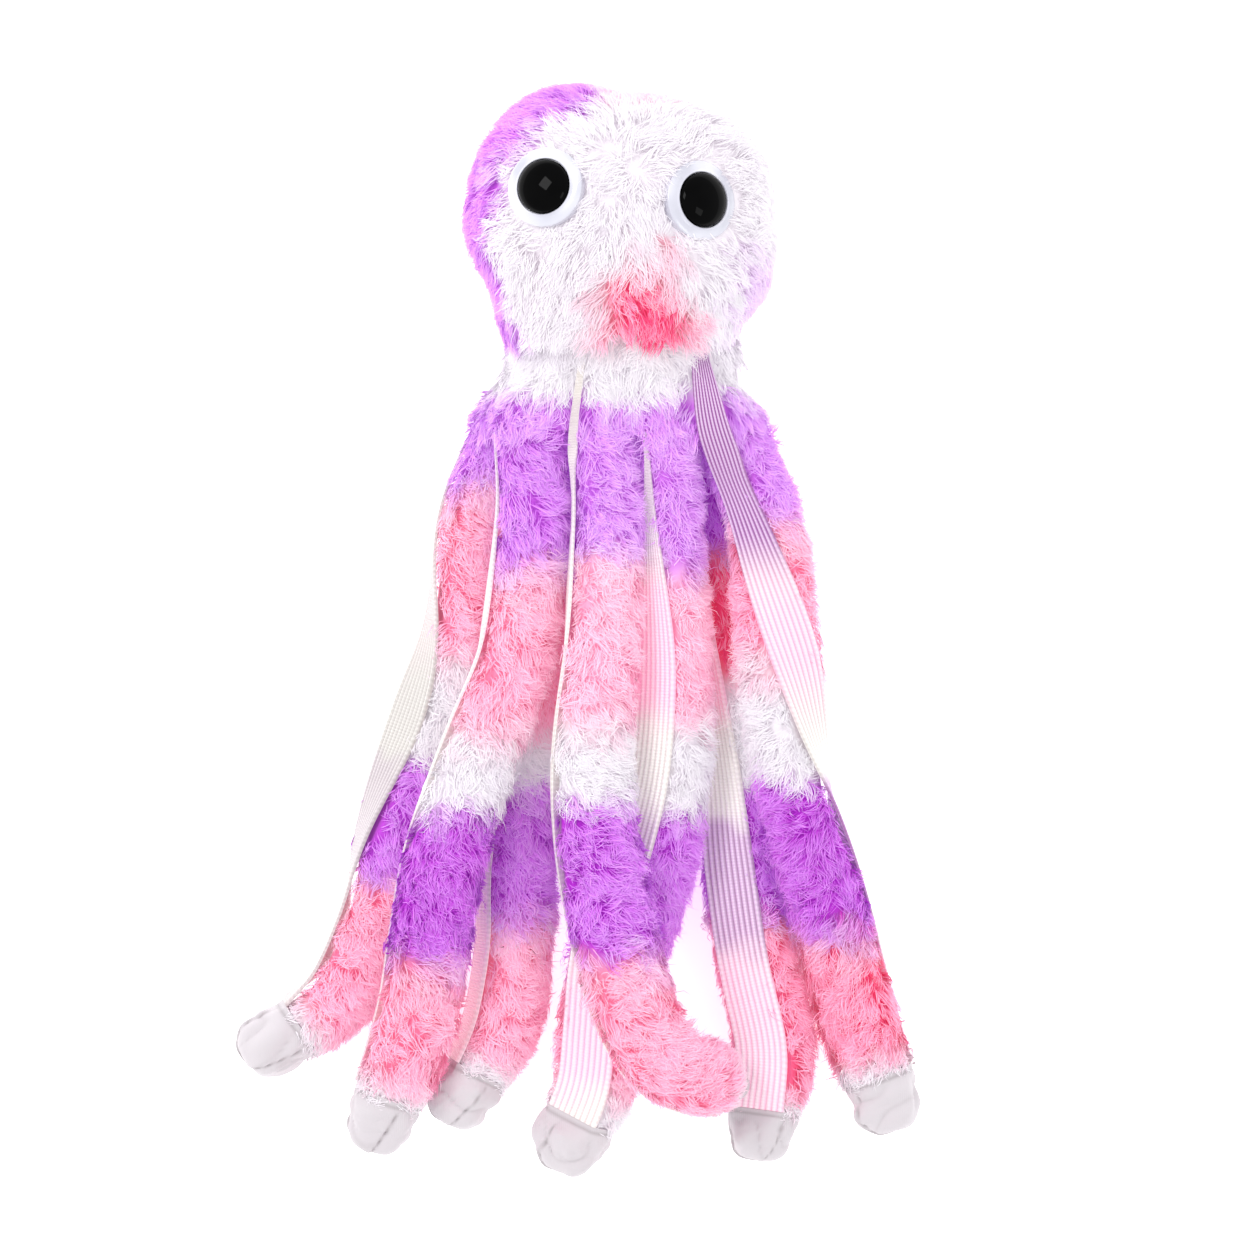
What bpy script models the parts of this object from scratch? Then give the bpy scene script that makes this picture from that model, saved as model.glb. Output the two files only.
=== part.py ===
"""Plush octopus cat toy, lying on its back with its face up.

Units are metres. +Z is up from the surface that it lies on, +Y runs from the arms to the crown of the
head, and +X is the right-hand side as the face is looked at. The origin is the middle of the footprint,
on the surface.

The toy is a stuffed head with two plastic eyes, a short gathered body and eight stuffed arms. Each arm is
a fur sleeve closed along one side by a ribbed ribbon, with a smooth folded toe cap sewn on its end. The
arms lie in a loose heap, so each has its own route, in arm widths across and up and in shares of the
arms' reach along.
"""

import math

import bmesh
import bpy
import numpy as np
from mathutils import Matrix, Vector
from mathutils.bvhtree import BVHTree

# Clearance between two pieces that touch.
SEAT_GAP = 0.0003

# Head, seen from above: its middle, its seam with the body, and its size.
AXIS_X = 0.0083
NECK_Y = 0.0525
HEAD_WIDTH = 0.0530
HEAD_HEIGHT = 0.0428
HEAD_DEPTH = 0.0440
HEAD_PUFF = 0.88
HEAD_COLUMNS = 32
HEAD_RINGS = 14
# Where the head's outline turns: shares of half its width, and of its height above the neck seam.
HEAD_OUTLINE = (
    (0.78, 0.02),
    (0.97, 0.24),
    (0.99, 0.50),
    (0.90, 0.74),
    (0.60, 0.91),
    (0.05, 0.98),
    (-0.46, 1.00),
    (-0.82, 0.84),
    (-0.98, 0.62),
    (-1.00, 0.40),
    (-0.84, 0.18),
    (-0.78, 0.00),
    (-0.62, -0.28),
    (0.00, -0.40),
    (0.62, -0.28),
)

# Body, from the neck seam down to where the arms part.
NECK_WIDTH = 0.0410
NECK_DEPTH = 0.0320
BODY_LENGTH = 0.0165
BODY_COLUMNS = 56
BODY_RINGS = 7
BODY_ROUNDING = 0.0006
GATHER_DEPTH = 0.0005
GATHERS = 14

# Eyes: a white plastic dish and a black pupil set in it.
EYE_WIDTH = 0.0148
EYE_HEIGHT = 0.0030
EYE_PROUD = 0.0016
EYE_SPACING = 0.0274
EYE_LEVEL = 0.0253
EYE_DROP = 0.0012
PUPIL_WIDTH = 0.0096
PUPIL_HEIGHT = 0.0026
PUPIL_SEAT = 0.0010
EYE_SIDES = 24

# Arms.
ARM_WIDTH = 0.0136
ARM_REACH = 0.1300
ARM_STATIONS = 18
BEND_PACE = 0.9
ARM_SIDES = 13
ROOT_SHARE = 0.85
ROOT_TAPER = 0.045
TOE_SHARE = 0.93
TOE_TAPER = 0.020

# Ribbon along each arm.
RIBBON_WIDTH = 0.0098
RIBBON_THICKNESS = 0.0006
RIBBON_ROOT_WIDTH = 0.0040
RIBBON_NECK_WIDTH = 0.0024
RIBBON_RIBS = 4
RIB_HEIGHT = 0.00025

# Toe cap on the end of each arm.
TOE_LENGTH = 0.0090
TOE_SIDES = 14
TOE_FOLD = 0.07

# What the sizes above fix.
ARM_RADIUS = ARM_WIDTH / 2
ARM_PITCH = ARM_WIDTH + SEAT_GAP
BODY_TOP_Y = NECK_Y - SEAT_GAP
ROOT_Y = BODY_TOP_Y - BODY_LENGTH
HEAD_MIDDLE = Vector((AXIS_X, NECK_Y + 0.48 * HEAD_HEIGHT, HEAD_DEPTH / 2 - 0.0008))
NECK_Z = HEAD_MIDDLE.z - 0.0010

# Each row of a route: arm widths across from the head's axis, share of the reach below the body, arm
# widths up from the surface, thickness as a share of the width, and the way that the ribbon faces, in
# degrees from straight up towards the right.
ARMS = {
    "arm_1": (
        (-1.45, 0.00, 0.84, 1.00, -120),
        (-1.80, 0.12, 0.66, 1.00, -115),
        (-1.98, 0.27, 0.51, 1.00, -75),
        (-2.38, 0.40, 0.50, 1.00, -42),
        (-2.88, 0.56, 0.50, 1.00, -75),
        (-3.12, 0.67, 0.50, 1.00, -85),
        (-3.54, 0.76, 0.50, 1.00, -75),
        (-4.22, 0.82, 0.50, 1.00, -65),
    ),
    "arm_2": (
        (-1.15, 0.00, 1.72, 1.00, -85),
        (-1.12, 0.12, 1.52, 1.00, -85),
        (-1.38, 0.29, 1.40, 1.00, -88),
        (-1.80, 0.43, 1.42, 1.00, -95),
        (-2.24, 0.57, 1.40, 1.00, -100),
        (-2.44, 0.69, 1.26, 1.00, -105),
        (-2.60, 0.79, 1.04, 1.00, -105),
        (-2.94, 0.915, 0.74, 1.00, -105),
    ),
    "arm_3": (
        (-0.50, 0.00, 0.62, 1.00, -60),
        (-0.78, 0.15, 0.50, 1.00, -50),
        (-1.02, 0.37, 0.50, 1.00, -42),
        (-1.36, 0.57, 0.50, 1.00, -38),
        (-1.40, 0.70, 0.50, 1.00, -50),
        (-1.58, 0.80, 0.50, 1.00, -62),
        (-1.86, 0.885, 0.50, 1.00, -70),
    ),
    "arm_4": (
        (-0.26, 0.00, 1.80, 1.20, -34),
        (-0.20, 0.06, 1.82, 1.16, -62),
        (-0.17, 0.12, 1.80, 1.10, -82),
        (-0.24, 0.23, 1.74, 1.00, -86),
        (-0.42, 0.41, 1.74, 0.95, -92),
        (-0.36, 0.55, 1.83, 0.88, -96),
        (-0.16, 0.67, 1.92, 0.84, -98),
        (0.14, 0.77, 1.90, 0.86, -100),
        (0.48, 0.838, 1.74, 0.92, -100),
        (0.78, 0.868, 1.50, 1.00, -98),
        (0.92, 0.875, 1.22, 1.00, -96),
        (0.95, 0.878, 0.95, 1.00, -96),
    ),
    "arm_5": (
        (0.56, 0.00, 1.74, 1.20, -42),
        (0.66, 0.12, 1.42, 1.10, -42),
        (0.70, 0.30, 1.22, 1.00, -40),
        (0.58, 0.46, 1.16, 0.92, -38),
        (0.30, 0.59, 1.12, 0.78, -32),
        (-0.06, 0.70, 1.06, 0.76, -26),
        (-0.22, 0.80, 0.92, 0.80, -18),
        (-0.34, 0.88, 0.66, 0.92, -18),
        (-0.50, 0.945, 0.52, 0.98, -18),
    ),
    "arm_6": (
        (1.34, 0.00, 0.62, 1.00, -70),
        (1.36, 0.14, 0.50, 1.00, -64),
        (1.46, 0.30, 0.50, 1.00, -50),
        (1.58, 0.45, 0.50, 1.00, -34),
        (1.54, 0.58, 0.50, 1.00, -28),
        (1.70, 0.71, 0.50, 1.00, -26),
        (1.92, 0.83, 0.50, 1.00, -24),
        (1.88, 0.915, 0.50, 1.00, -18),
    ),
    "arm_7": (
        (1.36, 0.00, 1.58, 1.00, -25),
        (1.74, 0.10, 1.52, 1.00, -12),
        (1.92, 0.20, 1.46, 0.96, 8),
        (2.06, 0.31, 1.40, 0.94, 36),
        (2.20, 0.42, 1.30, 0.98, 66),
        (2.44, 0.54, 1.08, 1.00, 95),
        (2.68, 0.66, 0.80, 1.00, 104),
        (2.92, 0.77, 0.58, 1.00, 105),
        (3.24, 0.890, 0.50, 1.00, 102),
    ),
    "arm_8": (
        (0.41, 0.00, 0.62, 1.00, -100),
        (0.34, 0.14, 0.50, 0.90, -95),
        (0.16, 0.30, 0.41, 0.80, -84),
        (-0.06, 0.46, 0.38, 0.72, -86),
        (-0.16, 0.60, 0.35, 0.66, -86),
        (-0.20, 0.70, 0.35, 0.66, -86),
    ),
}
# The ribbons of these arms run on up the body to the neck seam, where each meets it this far across.
RIBBONS_TO_NECK = {"arm_4": -0.0062, "arm_7": 0.0130}

# Colour, roughness and metallic value of each material.
FINISHES = {
    "head_fur": ((0.94, 0.90, 0.95), 0.95, 0.0),
    "body_fur": ((0.84, 0.70, 0.93), 0.95, 0.0),
    "arm_fur": ((0.93, 0.62, 0.80), 0.95, 0.0),
    "ribbon": ((0.95, 0.84, 0.92), 0.45, 0.0),
    "toe_fabric": ((0.92, 0.91, 0.92), 0.90, 0.0),
    "eye_white": ((0.90, 0.91, 0.95), 0.12, 0.0),
    "pupil_black": ((0.01, 0.01, 0.012), 0.05, 0.0),
}


def clear_scene():
    for old in list(bpy.data.objects):
        bpy.data.objects.remove(old)


def finish(name):
    """The material of this name, made once."""
    if name in bpy.data.materials:
        return bpy.data.materials[name]
    colour, roughness, metallic = FINISHES[name]
    made = bpy.data.materials.new(name)
    made.use_nodes = True
    shader = made.node_tree.nodes["Principled BSDF"]
    shader.inputs["Base Color"].default_value = (*colour, 1)
    shader.inputs["Roughness"].default_value = roughness
    shader.inputs["Metallic"].default_value = metallic
    made.diffuse_color = (*colour, 1)
    return made


def add_object(name, points, faces, finish_name):
    """A mesh object whose mesh is closed and smooth-shaded."""
    mesh = bpy.data.meshes.new(name)
    mesh.from_pydata([tuple(p) for p in points], [], faces)
    mesh.validate()
    made = bpy.data.objects.new(name, mesh)
    bpy.context.scene.collection.objects.link(made)
    mesh.materials.append(finish(finish_name))
    turn_outwards(mesh)
    mesh.shade_smooth()
    mesh.set_sharp_from_angle(angle=math.radians(50))
    return made


def turn_outwards(mesh):
    work = bmesh.new()
    work.from_mesh(mesh)
    bmesh.ops.recalc_face_normals(work, faces=work.faces)
    work.to_mesh(mesh)
    work.free()


def spline(rows, at, closed=False):
    """Catmull-Rom through the rows, read at places from 0 to 1 along it."""
    rows = np.array(rows, float)
    if closed:
        rows = np.vstack([rows[-1:], rows, rows[:2]])
    else:
        rows = np.vstack([2 * rows[0] - rows[1], rows, 2 * rows[-1] - rows[-2]])
    spans = len(rows) - 3
    place = np.clip(np.asarray(at, float), 0, 1) * spans
    i = np.minimum(place.astype(int), spans - 1)
    t = (place - i)[:, None]
    a, b, c, d = rows[i], rows[i + 1], rows[i + 2], rows[i + 3]
    return b + t / 2 * (c - a + t * (2 * a - 5 * b + 4 * c - d + t * (3 * (b - c) + d - a)))


def skin(rings, closed_start=True, closed_end=True):
    """Points and faces of a tube through rings of equal length."""
    count = len(rings[0])
    points = [p for ring in rings for p in ring]
    faces = []
    for r in range(len(rings) - 1):
        for k in range(count):
            here = r * count
            near = (k + 1) % count
            faces.append((here + k, here + near, here + count + near))
            faces.append((here + k, here + count + near, here + count + k))
    if closed_start:
        faces.append(tuple(range(count))[::-1])
    if closed_end:
        faces.append(tuple(range(len(points) - count, len(points))))
    return points, faces


def cut_flat(made, point, outward):
    """Cuts the object by a plane and closes it there."""
    work = bmesh.new()
    work.from_mesh(made.data)
    geometry = work.verts[:] + work.edges[:] + work.faces[:]
    cut = bmesh.ops.bisect_plane(
        work, geom=geometry, dist=1e-7, plane_co=point, plane_no=outward, clear_outer=True
    )
    edges = [e for e in cut["geom_cut"] if isinstance(e, bmesh.types.BMEdge)]
    if edges:
        bmesh.ops.contextual_create(work, geom=edges)
    bmesh.ops.recalc_face_normals(work, faces=work.faces)
    work.to_mesh(made.data)
    work.free()


def head_outline():
    """The head's outline from above, as points about its middle."""
    places = np.arange(HEAD_COLUMNS) / HEAD_COLUMNS
    shares = spline(HEAD_OUTLINE, places, closed=True)
    across = AXIS_X + shares[:, 0] * HEAD_WIDTH / 2
    along = NECK_Y + shares[:, 1] * HEAD_HEIGHT
    return np.stack([across, along], axis=1)


def build_head():
    """A puffed cushion on its outline, flat at the neck seam and where it lies."""
    outline = head_outline()
    middle = np.array(HEAD_MIDDLE)
    rings = []
    for r in range(1, HEAD_RINGS):
        tilt = math.pi * (r / HEAD_RINGS - 0.5)
        inwards = math.cos(tilt) ** HEAD_PUFF
        height = math.copysign(abs(math.sin(tilt)) ** HEAD_PUFF, tilt) * HEAD_DEPTH / 2
        flat = middle[:2] + (outline - middle[:2]) * inwards
        rings.append([Vector((x, y, middle[2] + height)) for x, y in flat])
    points, faces = skin(rings)
    head = add_object("head", points, faces, "head_fur")
    cut_flat(head, Vector((0, NECK_Y, 0)), Vector((0, -1, 0)))
    cut_flat(head, Vector((0, 0, 0)), Vector((0, 0, -1)))
    return head


def surface_under(tree, x, y, reach):
    """The point of the head's front over x, y, and its outward direction over that reach."""
    down = Vector((0, 0, -1))
    hits = []
    for dx, dy in ((0, 0), (reach, 0), (-reach, 0), (0, reach), (0, -reach)):
        place = tree.ray_cast(Vector((x + dx, y + dy, 2 * HEAD_DEPTH)), down)[0]
        hits.append(place)
    middle, right, left, upper, lower = hits
    outward = (right - left).cross(upper - lower).normalized()
    return middle, outward


def turned(name, profile, finish_name, place):
    """A round piece from (radius, height) points, from its axis at the bottom to its axis on top."""
    rings = []
    for radius, height in profile[1:-1]:
        angles = [2 * math.pi * k / EYE_SIDES for k in range(EYE_SIDES)]
        rings.append([Vector((radius * math.cos(a), radius * math.sin(a), height)) for a in angles])
    points, faces = skin(rings, closed_start=False, closed_end=False)
    for end, ring in ((0, 0), (-1, len(rings) - 1)):
        pole = len(points)
        points.append(Vector((0, 0, profile[end][1])))
        first = ring * EYE_SIDES
        for k in range(EYE_SIDES):
            near = (k + 1) % EYE_SIDES
            faces.append((pole, first + k, first + near))
    made = add_object(name, points, faces, finish_name)
    made.matrix_world = place
    return made


def dome(radius, low, high, steps):
    """(radius, height) points of a low dome's edge to just short of its top."""
    return [
        (radius * math.cos(a), low + (high - low) * math.sin(a))
        for a in (math.pi / 2 * k / steps for k in range(steps))
    ]


def build_eyes(head):
    """Each eye's dish sits in a round socket cut in the head, and the pupil in the dish."""
    radius = EYE_WIDTH / 2
    pupil = PUPIL_WIDTH / 2
    tree = BVHTree.FromObject(head, bpy.context.evaluated_depsgraph_get())
    for side, sign, drop in (("left", -1, 0.0), ("right", 1, EYE_DROP)):
        x = AXIS_X + 0.0006 + sign * EYE_SPACING / 2
        y = NECK_Y + EYE_LEVEL - drop
        place, outward = surface_under(tree, x, y, 0.7 * radius)
        turn = outward.to_track_quat("Z", "Y").to_matrix().to_4x4()
        seat = place - outward * (EYE_HEIGHT - EYE_PROUD)
        stand = Matrix.Translation(seat) @ turn

        rim = 0.30 * EYE_HEIGHT
        slope = [(r, rim + h) for r, h in dome(radius, 0.0, EYE_HEIGHT - rim, 5)[1:]]
        slope = [(r, h) for r, h in slope if r > pupil + 2 * SEAT_GAP]
        lip = pupil + SEAT_GAP
        floor = EYE_HEIGHT - PUPIL_SEAT
        profile = [(0, 0), (radius * 0.94, 0), (radius, rim * 0.5), (radius, rim), *slope]
        profile += [(lip + SEAT_GAP, EYE_HEIGHT * 0.97), (lip, EYE_HEIGHT * 0.93), (lip, floor)]
        profile += [(0, floor)]
        turned(f"eye_dish_{side}", profile, "eye_white", stand)

        base = floor + SEAT_GAP
        edge = EYE_HEIGHT - base
        top = base + PUPIL_HEIGHT
        profile = [(0, base), (pupil, base), (pupil, base + edge)]
        profile += dome(pupil, base + edge, top, 5)[1:] + [(0, top)]
        turned(f"eye_pupil_{side}", profile, "pupil_black", stand)

        socket = bpy.data.meshes.new(f"socket_{side}")
        work = bmesh.new()
        bmesh.ops.create_cone(
            work,
            cap_ends=True,
            segments=EYE_SIDES,
            radius1=radius + SEAT_GAP,
            radius2=radius + SEAT_GAP,
            depth=4 * EYE_HEIGHT,
        )
        work.to_mesh(socket)
        work.free()
        cutter = bpy.data.objects.new(socket.name, socket)
        bpy.context.scene.collection.objects.link(cutter)
        lift = Matrix.Translation((0, 0, 2 * EYE_HEIGHT - SEAT_GAP))
        cutter.matrix_world = stand @ lift
        cutter.hide_render = True
        cutter.display_type = "WIRE"
        cut = head.modifiers.new(socket.name, "BOOLEAN")
        cut.operation = "DIFFERENCE"
        cut.object = cutter


class Arm:
    """The route of one arm and its section at each station."""

    def __init__(self, name):
        self.name = name
        fine = spline(ARMS[name], np.linspace(0, 1, 400))
        line = self.place(fine)
        steps = np.diff(line, axis=0)
        lengths = np.linalg.norm(steps, axis=1)
        run = np.concatenate([[0], np.cumsum(lengths)])
        self.length = float(run[-1])
        self.run = np.interp(np.linspace(0, 1, ARM_STATIONS), self.pace(steps, lengths, fine), run)
        rows = np.stack([np.interp(self.run, run, fine[:, k]) for k in range(5)], axis=1)
        self.points = self.place(rows)
        self.tall = rows[:, 3]
        self.roll = np.radians(rows[:, 4])
        ahead = np.gradient(line, axis=0)
        ahead = np.stack([np.interp(self.run, run, ahead[:, k]) for k in range(3)], axis=1)
        ahead[0] = (0, -1, 0)
        self.ahead = ahead / np.linalg.norm(ahead, axis=1)[:, None]

    @staticmethod
    def pace(steps, lengths, fine):
        """Share of the stations used up along the route: more where it bends or the ribbon turns."""
        ways = steps / lengths[:, None]
        bends = np.linalg.norm(np.diff(ways, axis=0, prepend=ways[:1]), axis=1)
        turns = np.abs(np.diff(np.radians(fine[:, 4])))
        used = np.cumsum(lengths + BEND_PACE * ARM_WIDTH * (bends + turns / 2))
        return np.concatenate([[0], used / used[-1]])

    @staticmethod
    def place(rows):
        """Route rows as points."""
        return np.stack(
            [AXIS_X + rows[:, 0] * ARM_PITCH, ROOT_Y - SEAT_GAP - rows[:, 1] * ARM_REACH, rows[:, 2] * ARM_PITCH],
            axis=1,
        )

    def size(self, i):
        """Half width and half thickness of the sleeve at a station."""
        root = ROOT_SHARE + (1 - ROOT_SHARE) * smooth(self.run[i] / ROOT_TAPER)
        toe = TOE_SHARE + (1 - TOE_SHARE) * smooth((self.length - self.run[i]) / TOE_TAPER)
        share = root * toe
        return ARM_RADIUS * share / math.sqrt(self.tall[i]), ARM_RADIUS * share * self.tall[i]

    def ribbon_width(self, i):
        grown = smooth(self.run[i] / ROOT_TAPER)
        return RIBBON_ROOT_WIDTH + (RIBBON_WIDTH - RIBBON_ROOT_WIDTH) * grown

    def axes(self, i):
        """The station's middle, its sideways and its upwards direction."""
        ahead = Vector(self.ahead[i])
        side = Vector((0, 0, 1)).cross(ahead).normalized()
        return Vector(self.points[i]), side, ahead.cross(side)

    def flat(self, i):
        """Where the ribbon lies: the flat's middle, its direction across, its direction out, and the
        angles on the section where it begins and ends."""
        wide, tall = self.size(i)
        out = np.array([math.sin(self.roll[i]), math.cos(self.roll[i])])
        reach = math.hypot(wide * out[0], tall * out[1])
        half = self.ribbon_width(i) / 2
        share = math.sqrt(max(0.05, 1 - (half * reach / (wide * tall)) ** 2))
        middle = share / reach * np.array([wide**2 * out[0], tall**2 * out[1]])
        turn = math.atan2(tall * out[1], wide * out[0])
        opening = math.acos(share)
        return middle, out, (turn + opening, turn + 2 * math.pi - opening)

    def in_space(self, i, across, up):
        middle, side, above = self.axes(i)
        return middle + side * across + above * up

    def ring(self, i):
        """The sleeve's section: most of an ellipse, closed by the flat under the ribbon."""
        wide, tall = self.size(i)
        first, last = self.flat(i)[2]
        angles = np.linspace(first, last, ARM_SIDES)
        ring = [self.in_space(i, wide * math.cos(a), tall * math.sin(a)) for a in angles]
        return ring + [(ring[0] + ring[-1]) / 2]


def smooth(share):
    share = min(1.0, max(0.0, share))
    return share * share * (3 - 2 * share)


def build_sleeve(arm):
    points, faces = skin([arm.ring(i) for i in range(ARM_STATIONS)])
    return add_object(f"{arm.name}_fur_sleeve", points, faces, "arm_fur")


def ribbon_section(width):
    """(across, out) points of the ribbon's section: a flat back and a ribbed front."""
    steps = 2 * RIBBON_RIBS + 1
    front = []
    for k in range(steps):
        across = width * (k / (steps - 1) - 0.5)
        front.append((across, RIBBON_THICKNESS + (RIB_HEIGHT if k % 2 else 0.0)))
    return [(width / 2, 0.0), (0.0, 0.0), (-width / 2, 0.0)] + front


def build_ribbon(arm, body):
    """The ribbon lies on the sleeve's flat, and on some arms it runs on up the body."""
    rings = []
    for i in range(ARM_STATIONS):
        middle, out, _ = arm.flat(i)
        across = np.array([out[1], -out[0]])
        ring = []
        for a, o in ribbon_section(arm.ribbon_width(i)):
            spot = middle + across * a + out * (SEAT_GAP + o)
            ring.append(arm.in_space(i, *spot))
        rings.append(ring)
    if arm.name in RIBBONS_TO_NECK:
        rings = ribbon_on_body(arm, body, rings[0]) + rings[1:]
    points, faces = skin(rings)
    return add_object(f"{arm.name}_ribbon", points, faces, "ribbon")


def ribbon_on_body(arm, body, first_ring):
    """Sections of the ribbon from the neck seam down to the arm's root."""
    tree = BVHTree.FromObject(body, bpy.context.evaluated_depsgraph_get())
    start = first_ring[1]
    end_x = AXIS_X + RIBBONS_TO_NECK[arm.name]
    middle_z = body_middle(0.5).z
    rings = []
    for share in (0.03, 0.25, 0.5, 0.75, 0.99):
        x = end_x + (start.x - end_x) * share
        y = BODY_TOP_Y - share * BODY_LENGTH
        width = RIBBON_NECK_WIDTH + (arm.ribbon_width(0) - RIBBON_NECK_WIDTH) * share
        heights = []
        for shift in (-0.5, -0.25, 0.0, 0.25, 0.5):
            top = Vector((x + shift * width, y, middle_z + ARM_WIDTH * 2))
            heights.append(tree.ray_cast(top, Vector((0, 0, -1)))[0].z)
        lean = math.atan2(heights[-1] - heights[0], width)
        middle = Vector((x, y, (heights[0] + heights[-1]) / 2))
        bulge = max(h - z for h, z in zip(heights, np.linspace(heights[0], heights[-1], 5)))
        lift = 2 * SEAT_GAP + bulge
        across = Vector((math.cos(lean), 0, math.sin(lean)))
        out = Vector((-math.sin(lean), 0, math.cos(lean)))
        rings.append([middle + across * a + out * (lift + o) for a, o in ribbon_section(width)])
    return rings


def build_toe(arm):
    """A short closed cap on the sleeve's end, squared off where its cloth is folded in."""
    last = ARM_STATIONS - 1
    wide, tall = arm.size(last)
    ahead = Vector(arm.ahead[last])
    rings = []
    for along, share, square in ((0, 0.97, 0), (0.3, 1.0, 0.3), (0.7, 0.9, 0.8), (1.0, 0.6, 1.0)):
        ring = []
        for k in range(TOE_SIDES):
            a = 2 * math.pi * k / TOE_SIDES
            fold = share * (1 - TOE_FOLD * square * math.cos(4 * a))
            spot = arm.in_space(last, wide * fold * math.cos(a), tall * fold * math.sin(a))
            ring.append(spot + ahead * (SEAT_GAP + along * TOE_LENGTH))
        rings.append(ring)
    points, faces = skin(rings)
    return add_object(f"{arm.name}_toe_cap", points, faces, "toe_fabric")


def body_middle(share):
    """The body's axis: from the neck to the middle of the arms' roots."""
    roots = [Vector((AXIS_X + rows[0][0] * ARM_PITCH, 0, rows[0][2] * ARM_PITCH)) for rows in ARMS.values()]
    low = sum(roots, Vector()) / len(roots)
    return Vector((AXIS_X, 0, NECK_Z)).lerp(low, share) + Vector((0, BODY_TOP_Y - share * BODY_LENGTH, 0))


def reach_of_roots(arms, angle):
    """How far the arms' roots reach from the body's axis in this direction."""
    middle = body_middle(1.0)
    way = np.array([math.cos(angle), math.sin(angle)])
    best = 0.0
    for arm in arms:
        corners = np.array([(p.x - middle.x, p.z - middle.z) for p in arm.ring(0)])
        following = np.roll(corners, -1, axis=0)
        for a, b in zip(corners, following):
            edge = b - a
            cross = way[0] * edge[1] - way[1] * edge[0]
            if abs(cross) < 1e-12:
                continue
            distance = (a[0] * edge[1] - a[1] * edge[0]) / cross
            place = (a[0] * way[1] - a[1] * way[0]) / cross
            if 0 <= place <= 1:
                best = max(best, distance)
    return best


def build_body(arms):
    """A gathered skirt: the neck's ellipse at the top, and the lobes of the arms' roots below."""
    angles = [2 * math.pi * k / BODY_COLUMNS for k in range(BODY_COLUMNS)]
    column = 2 * math.pi / BODY_COLUMNS
    reaches = [max(reach_of_roots(arms, a + column * k / 4) for k in (-2, -1, 0, 1, 2)) for a in angles]
    hull = np.max([np.roll(reaches, k) * 0.93 for k in (-2, -1, 1, 2)] + [reaches], axis=0)
    rings = []
    for r in range(BODY_RINGS):
        share = r / (BODY_RINGS - 1)
        middle = body_middle(share)
        ring = []
        for a, reach in zip(angles, hull):
            neck = 1 / math.hypot(math.cos(a) / (NECK_WIDTH / 2), math.sin(a) / (NECK_DEPTH / 2))
            gather = GATHER_DEPTH * (1 - share) * math.cos(GATHERS * a)
            radius = neck + (reach - neck) * smooth(share * 1.05) + gather
            if r == 0:
                radius -= BODY_ROUNDING
            ring.append(Vector((middle.x + radius * math.cos(a), middle.y, middle.z + radius * math.sin(a))))
        rings.append(ring)
    points, faces = skin(rings)
    body = add_object("body", points, faces, "body_fur")
    cut_flat(body, Vector((0, 0, 0)), Vector((0, 0, -1)))
    return body


def centre_on_footprint():
    """Moves everything so that the origin is the middle of the footprint."""
    bpy.context.view_layer.update()
    shown = [o for o in bpy.context.scene.objects if not o.hide_render]
    points = np.array([o.matrix_world @ v.co for o in shown for v in o.data.vertices])
    middle = (points.min(axis=0) + points.max(axis=0)) / 2
    for made in bpy.context.scene.objects:
        made.location -= Vector((middle[0], middle[1], points[:, 2].min()))


def main():
    clear_scene()
    head = build_head()
    build_eyes(head)
    arms = [Arm(name) for name in ARMS]
    body = build_body(arms)
    for arm in arms:
        build_sleeve(arm)
        build_ribbon(arm, body)
        build_toe(arm)
    centre_on_footprint()


main()
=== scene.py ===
"""Looks of the plush octopus cat toy: long tie-dyed pile, ribbed ribbons, folded toe caps and eyes.

Everything is in metres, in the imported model's frame: +Z up from the floor, +Y to the crown of the head.
Each soft solid is replaced by a skin with its pile standing on it as real strands.
"""

import math

import bpy
import numpy as np
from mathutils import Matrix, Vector
from mathutils.bvhtree import BVHTree


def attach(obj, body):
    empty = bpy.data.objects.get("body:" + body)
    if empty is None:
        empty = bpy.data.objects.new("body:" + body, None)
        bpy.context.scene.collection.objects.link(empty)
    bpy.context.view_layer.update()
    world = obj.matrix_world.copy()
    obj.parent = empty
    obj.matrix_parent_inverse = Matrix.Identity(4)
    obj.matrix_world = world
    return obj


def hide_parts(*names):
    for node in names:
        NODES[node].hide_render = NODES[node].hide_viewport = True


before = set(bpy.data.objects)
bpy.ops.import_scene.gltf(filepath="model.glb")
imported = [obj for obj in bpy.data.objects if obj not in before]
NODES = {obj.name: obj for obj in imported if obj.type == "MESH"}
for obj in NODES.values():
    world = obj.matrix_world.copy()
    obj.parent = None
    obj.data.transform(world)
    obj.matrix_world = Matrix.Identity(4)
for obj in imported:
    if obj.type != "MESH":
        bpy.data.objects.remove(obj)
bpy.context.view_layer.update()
MM = 0.001

# The part's own sizes, and how far it was moved to centre its footprint.
CENTRED = np.array([-0.0002609, 0.0009432, 0.0])
AXIS_X = 0.0083
NECK_Y = 0.0525
HEAD_WIDTH = 0.0530
HEAD_HEIGHT = 0.0428
HEAD_DEPTH = 0.0440
HEAD_PUFF = 0.88
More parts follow.
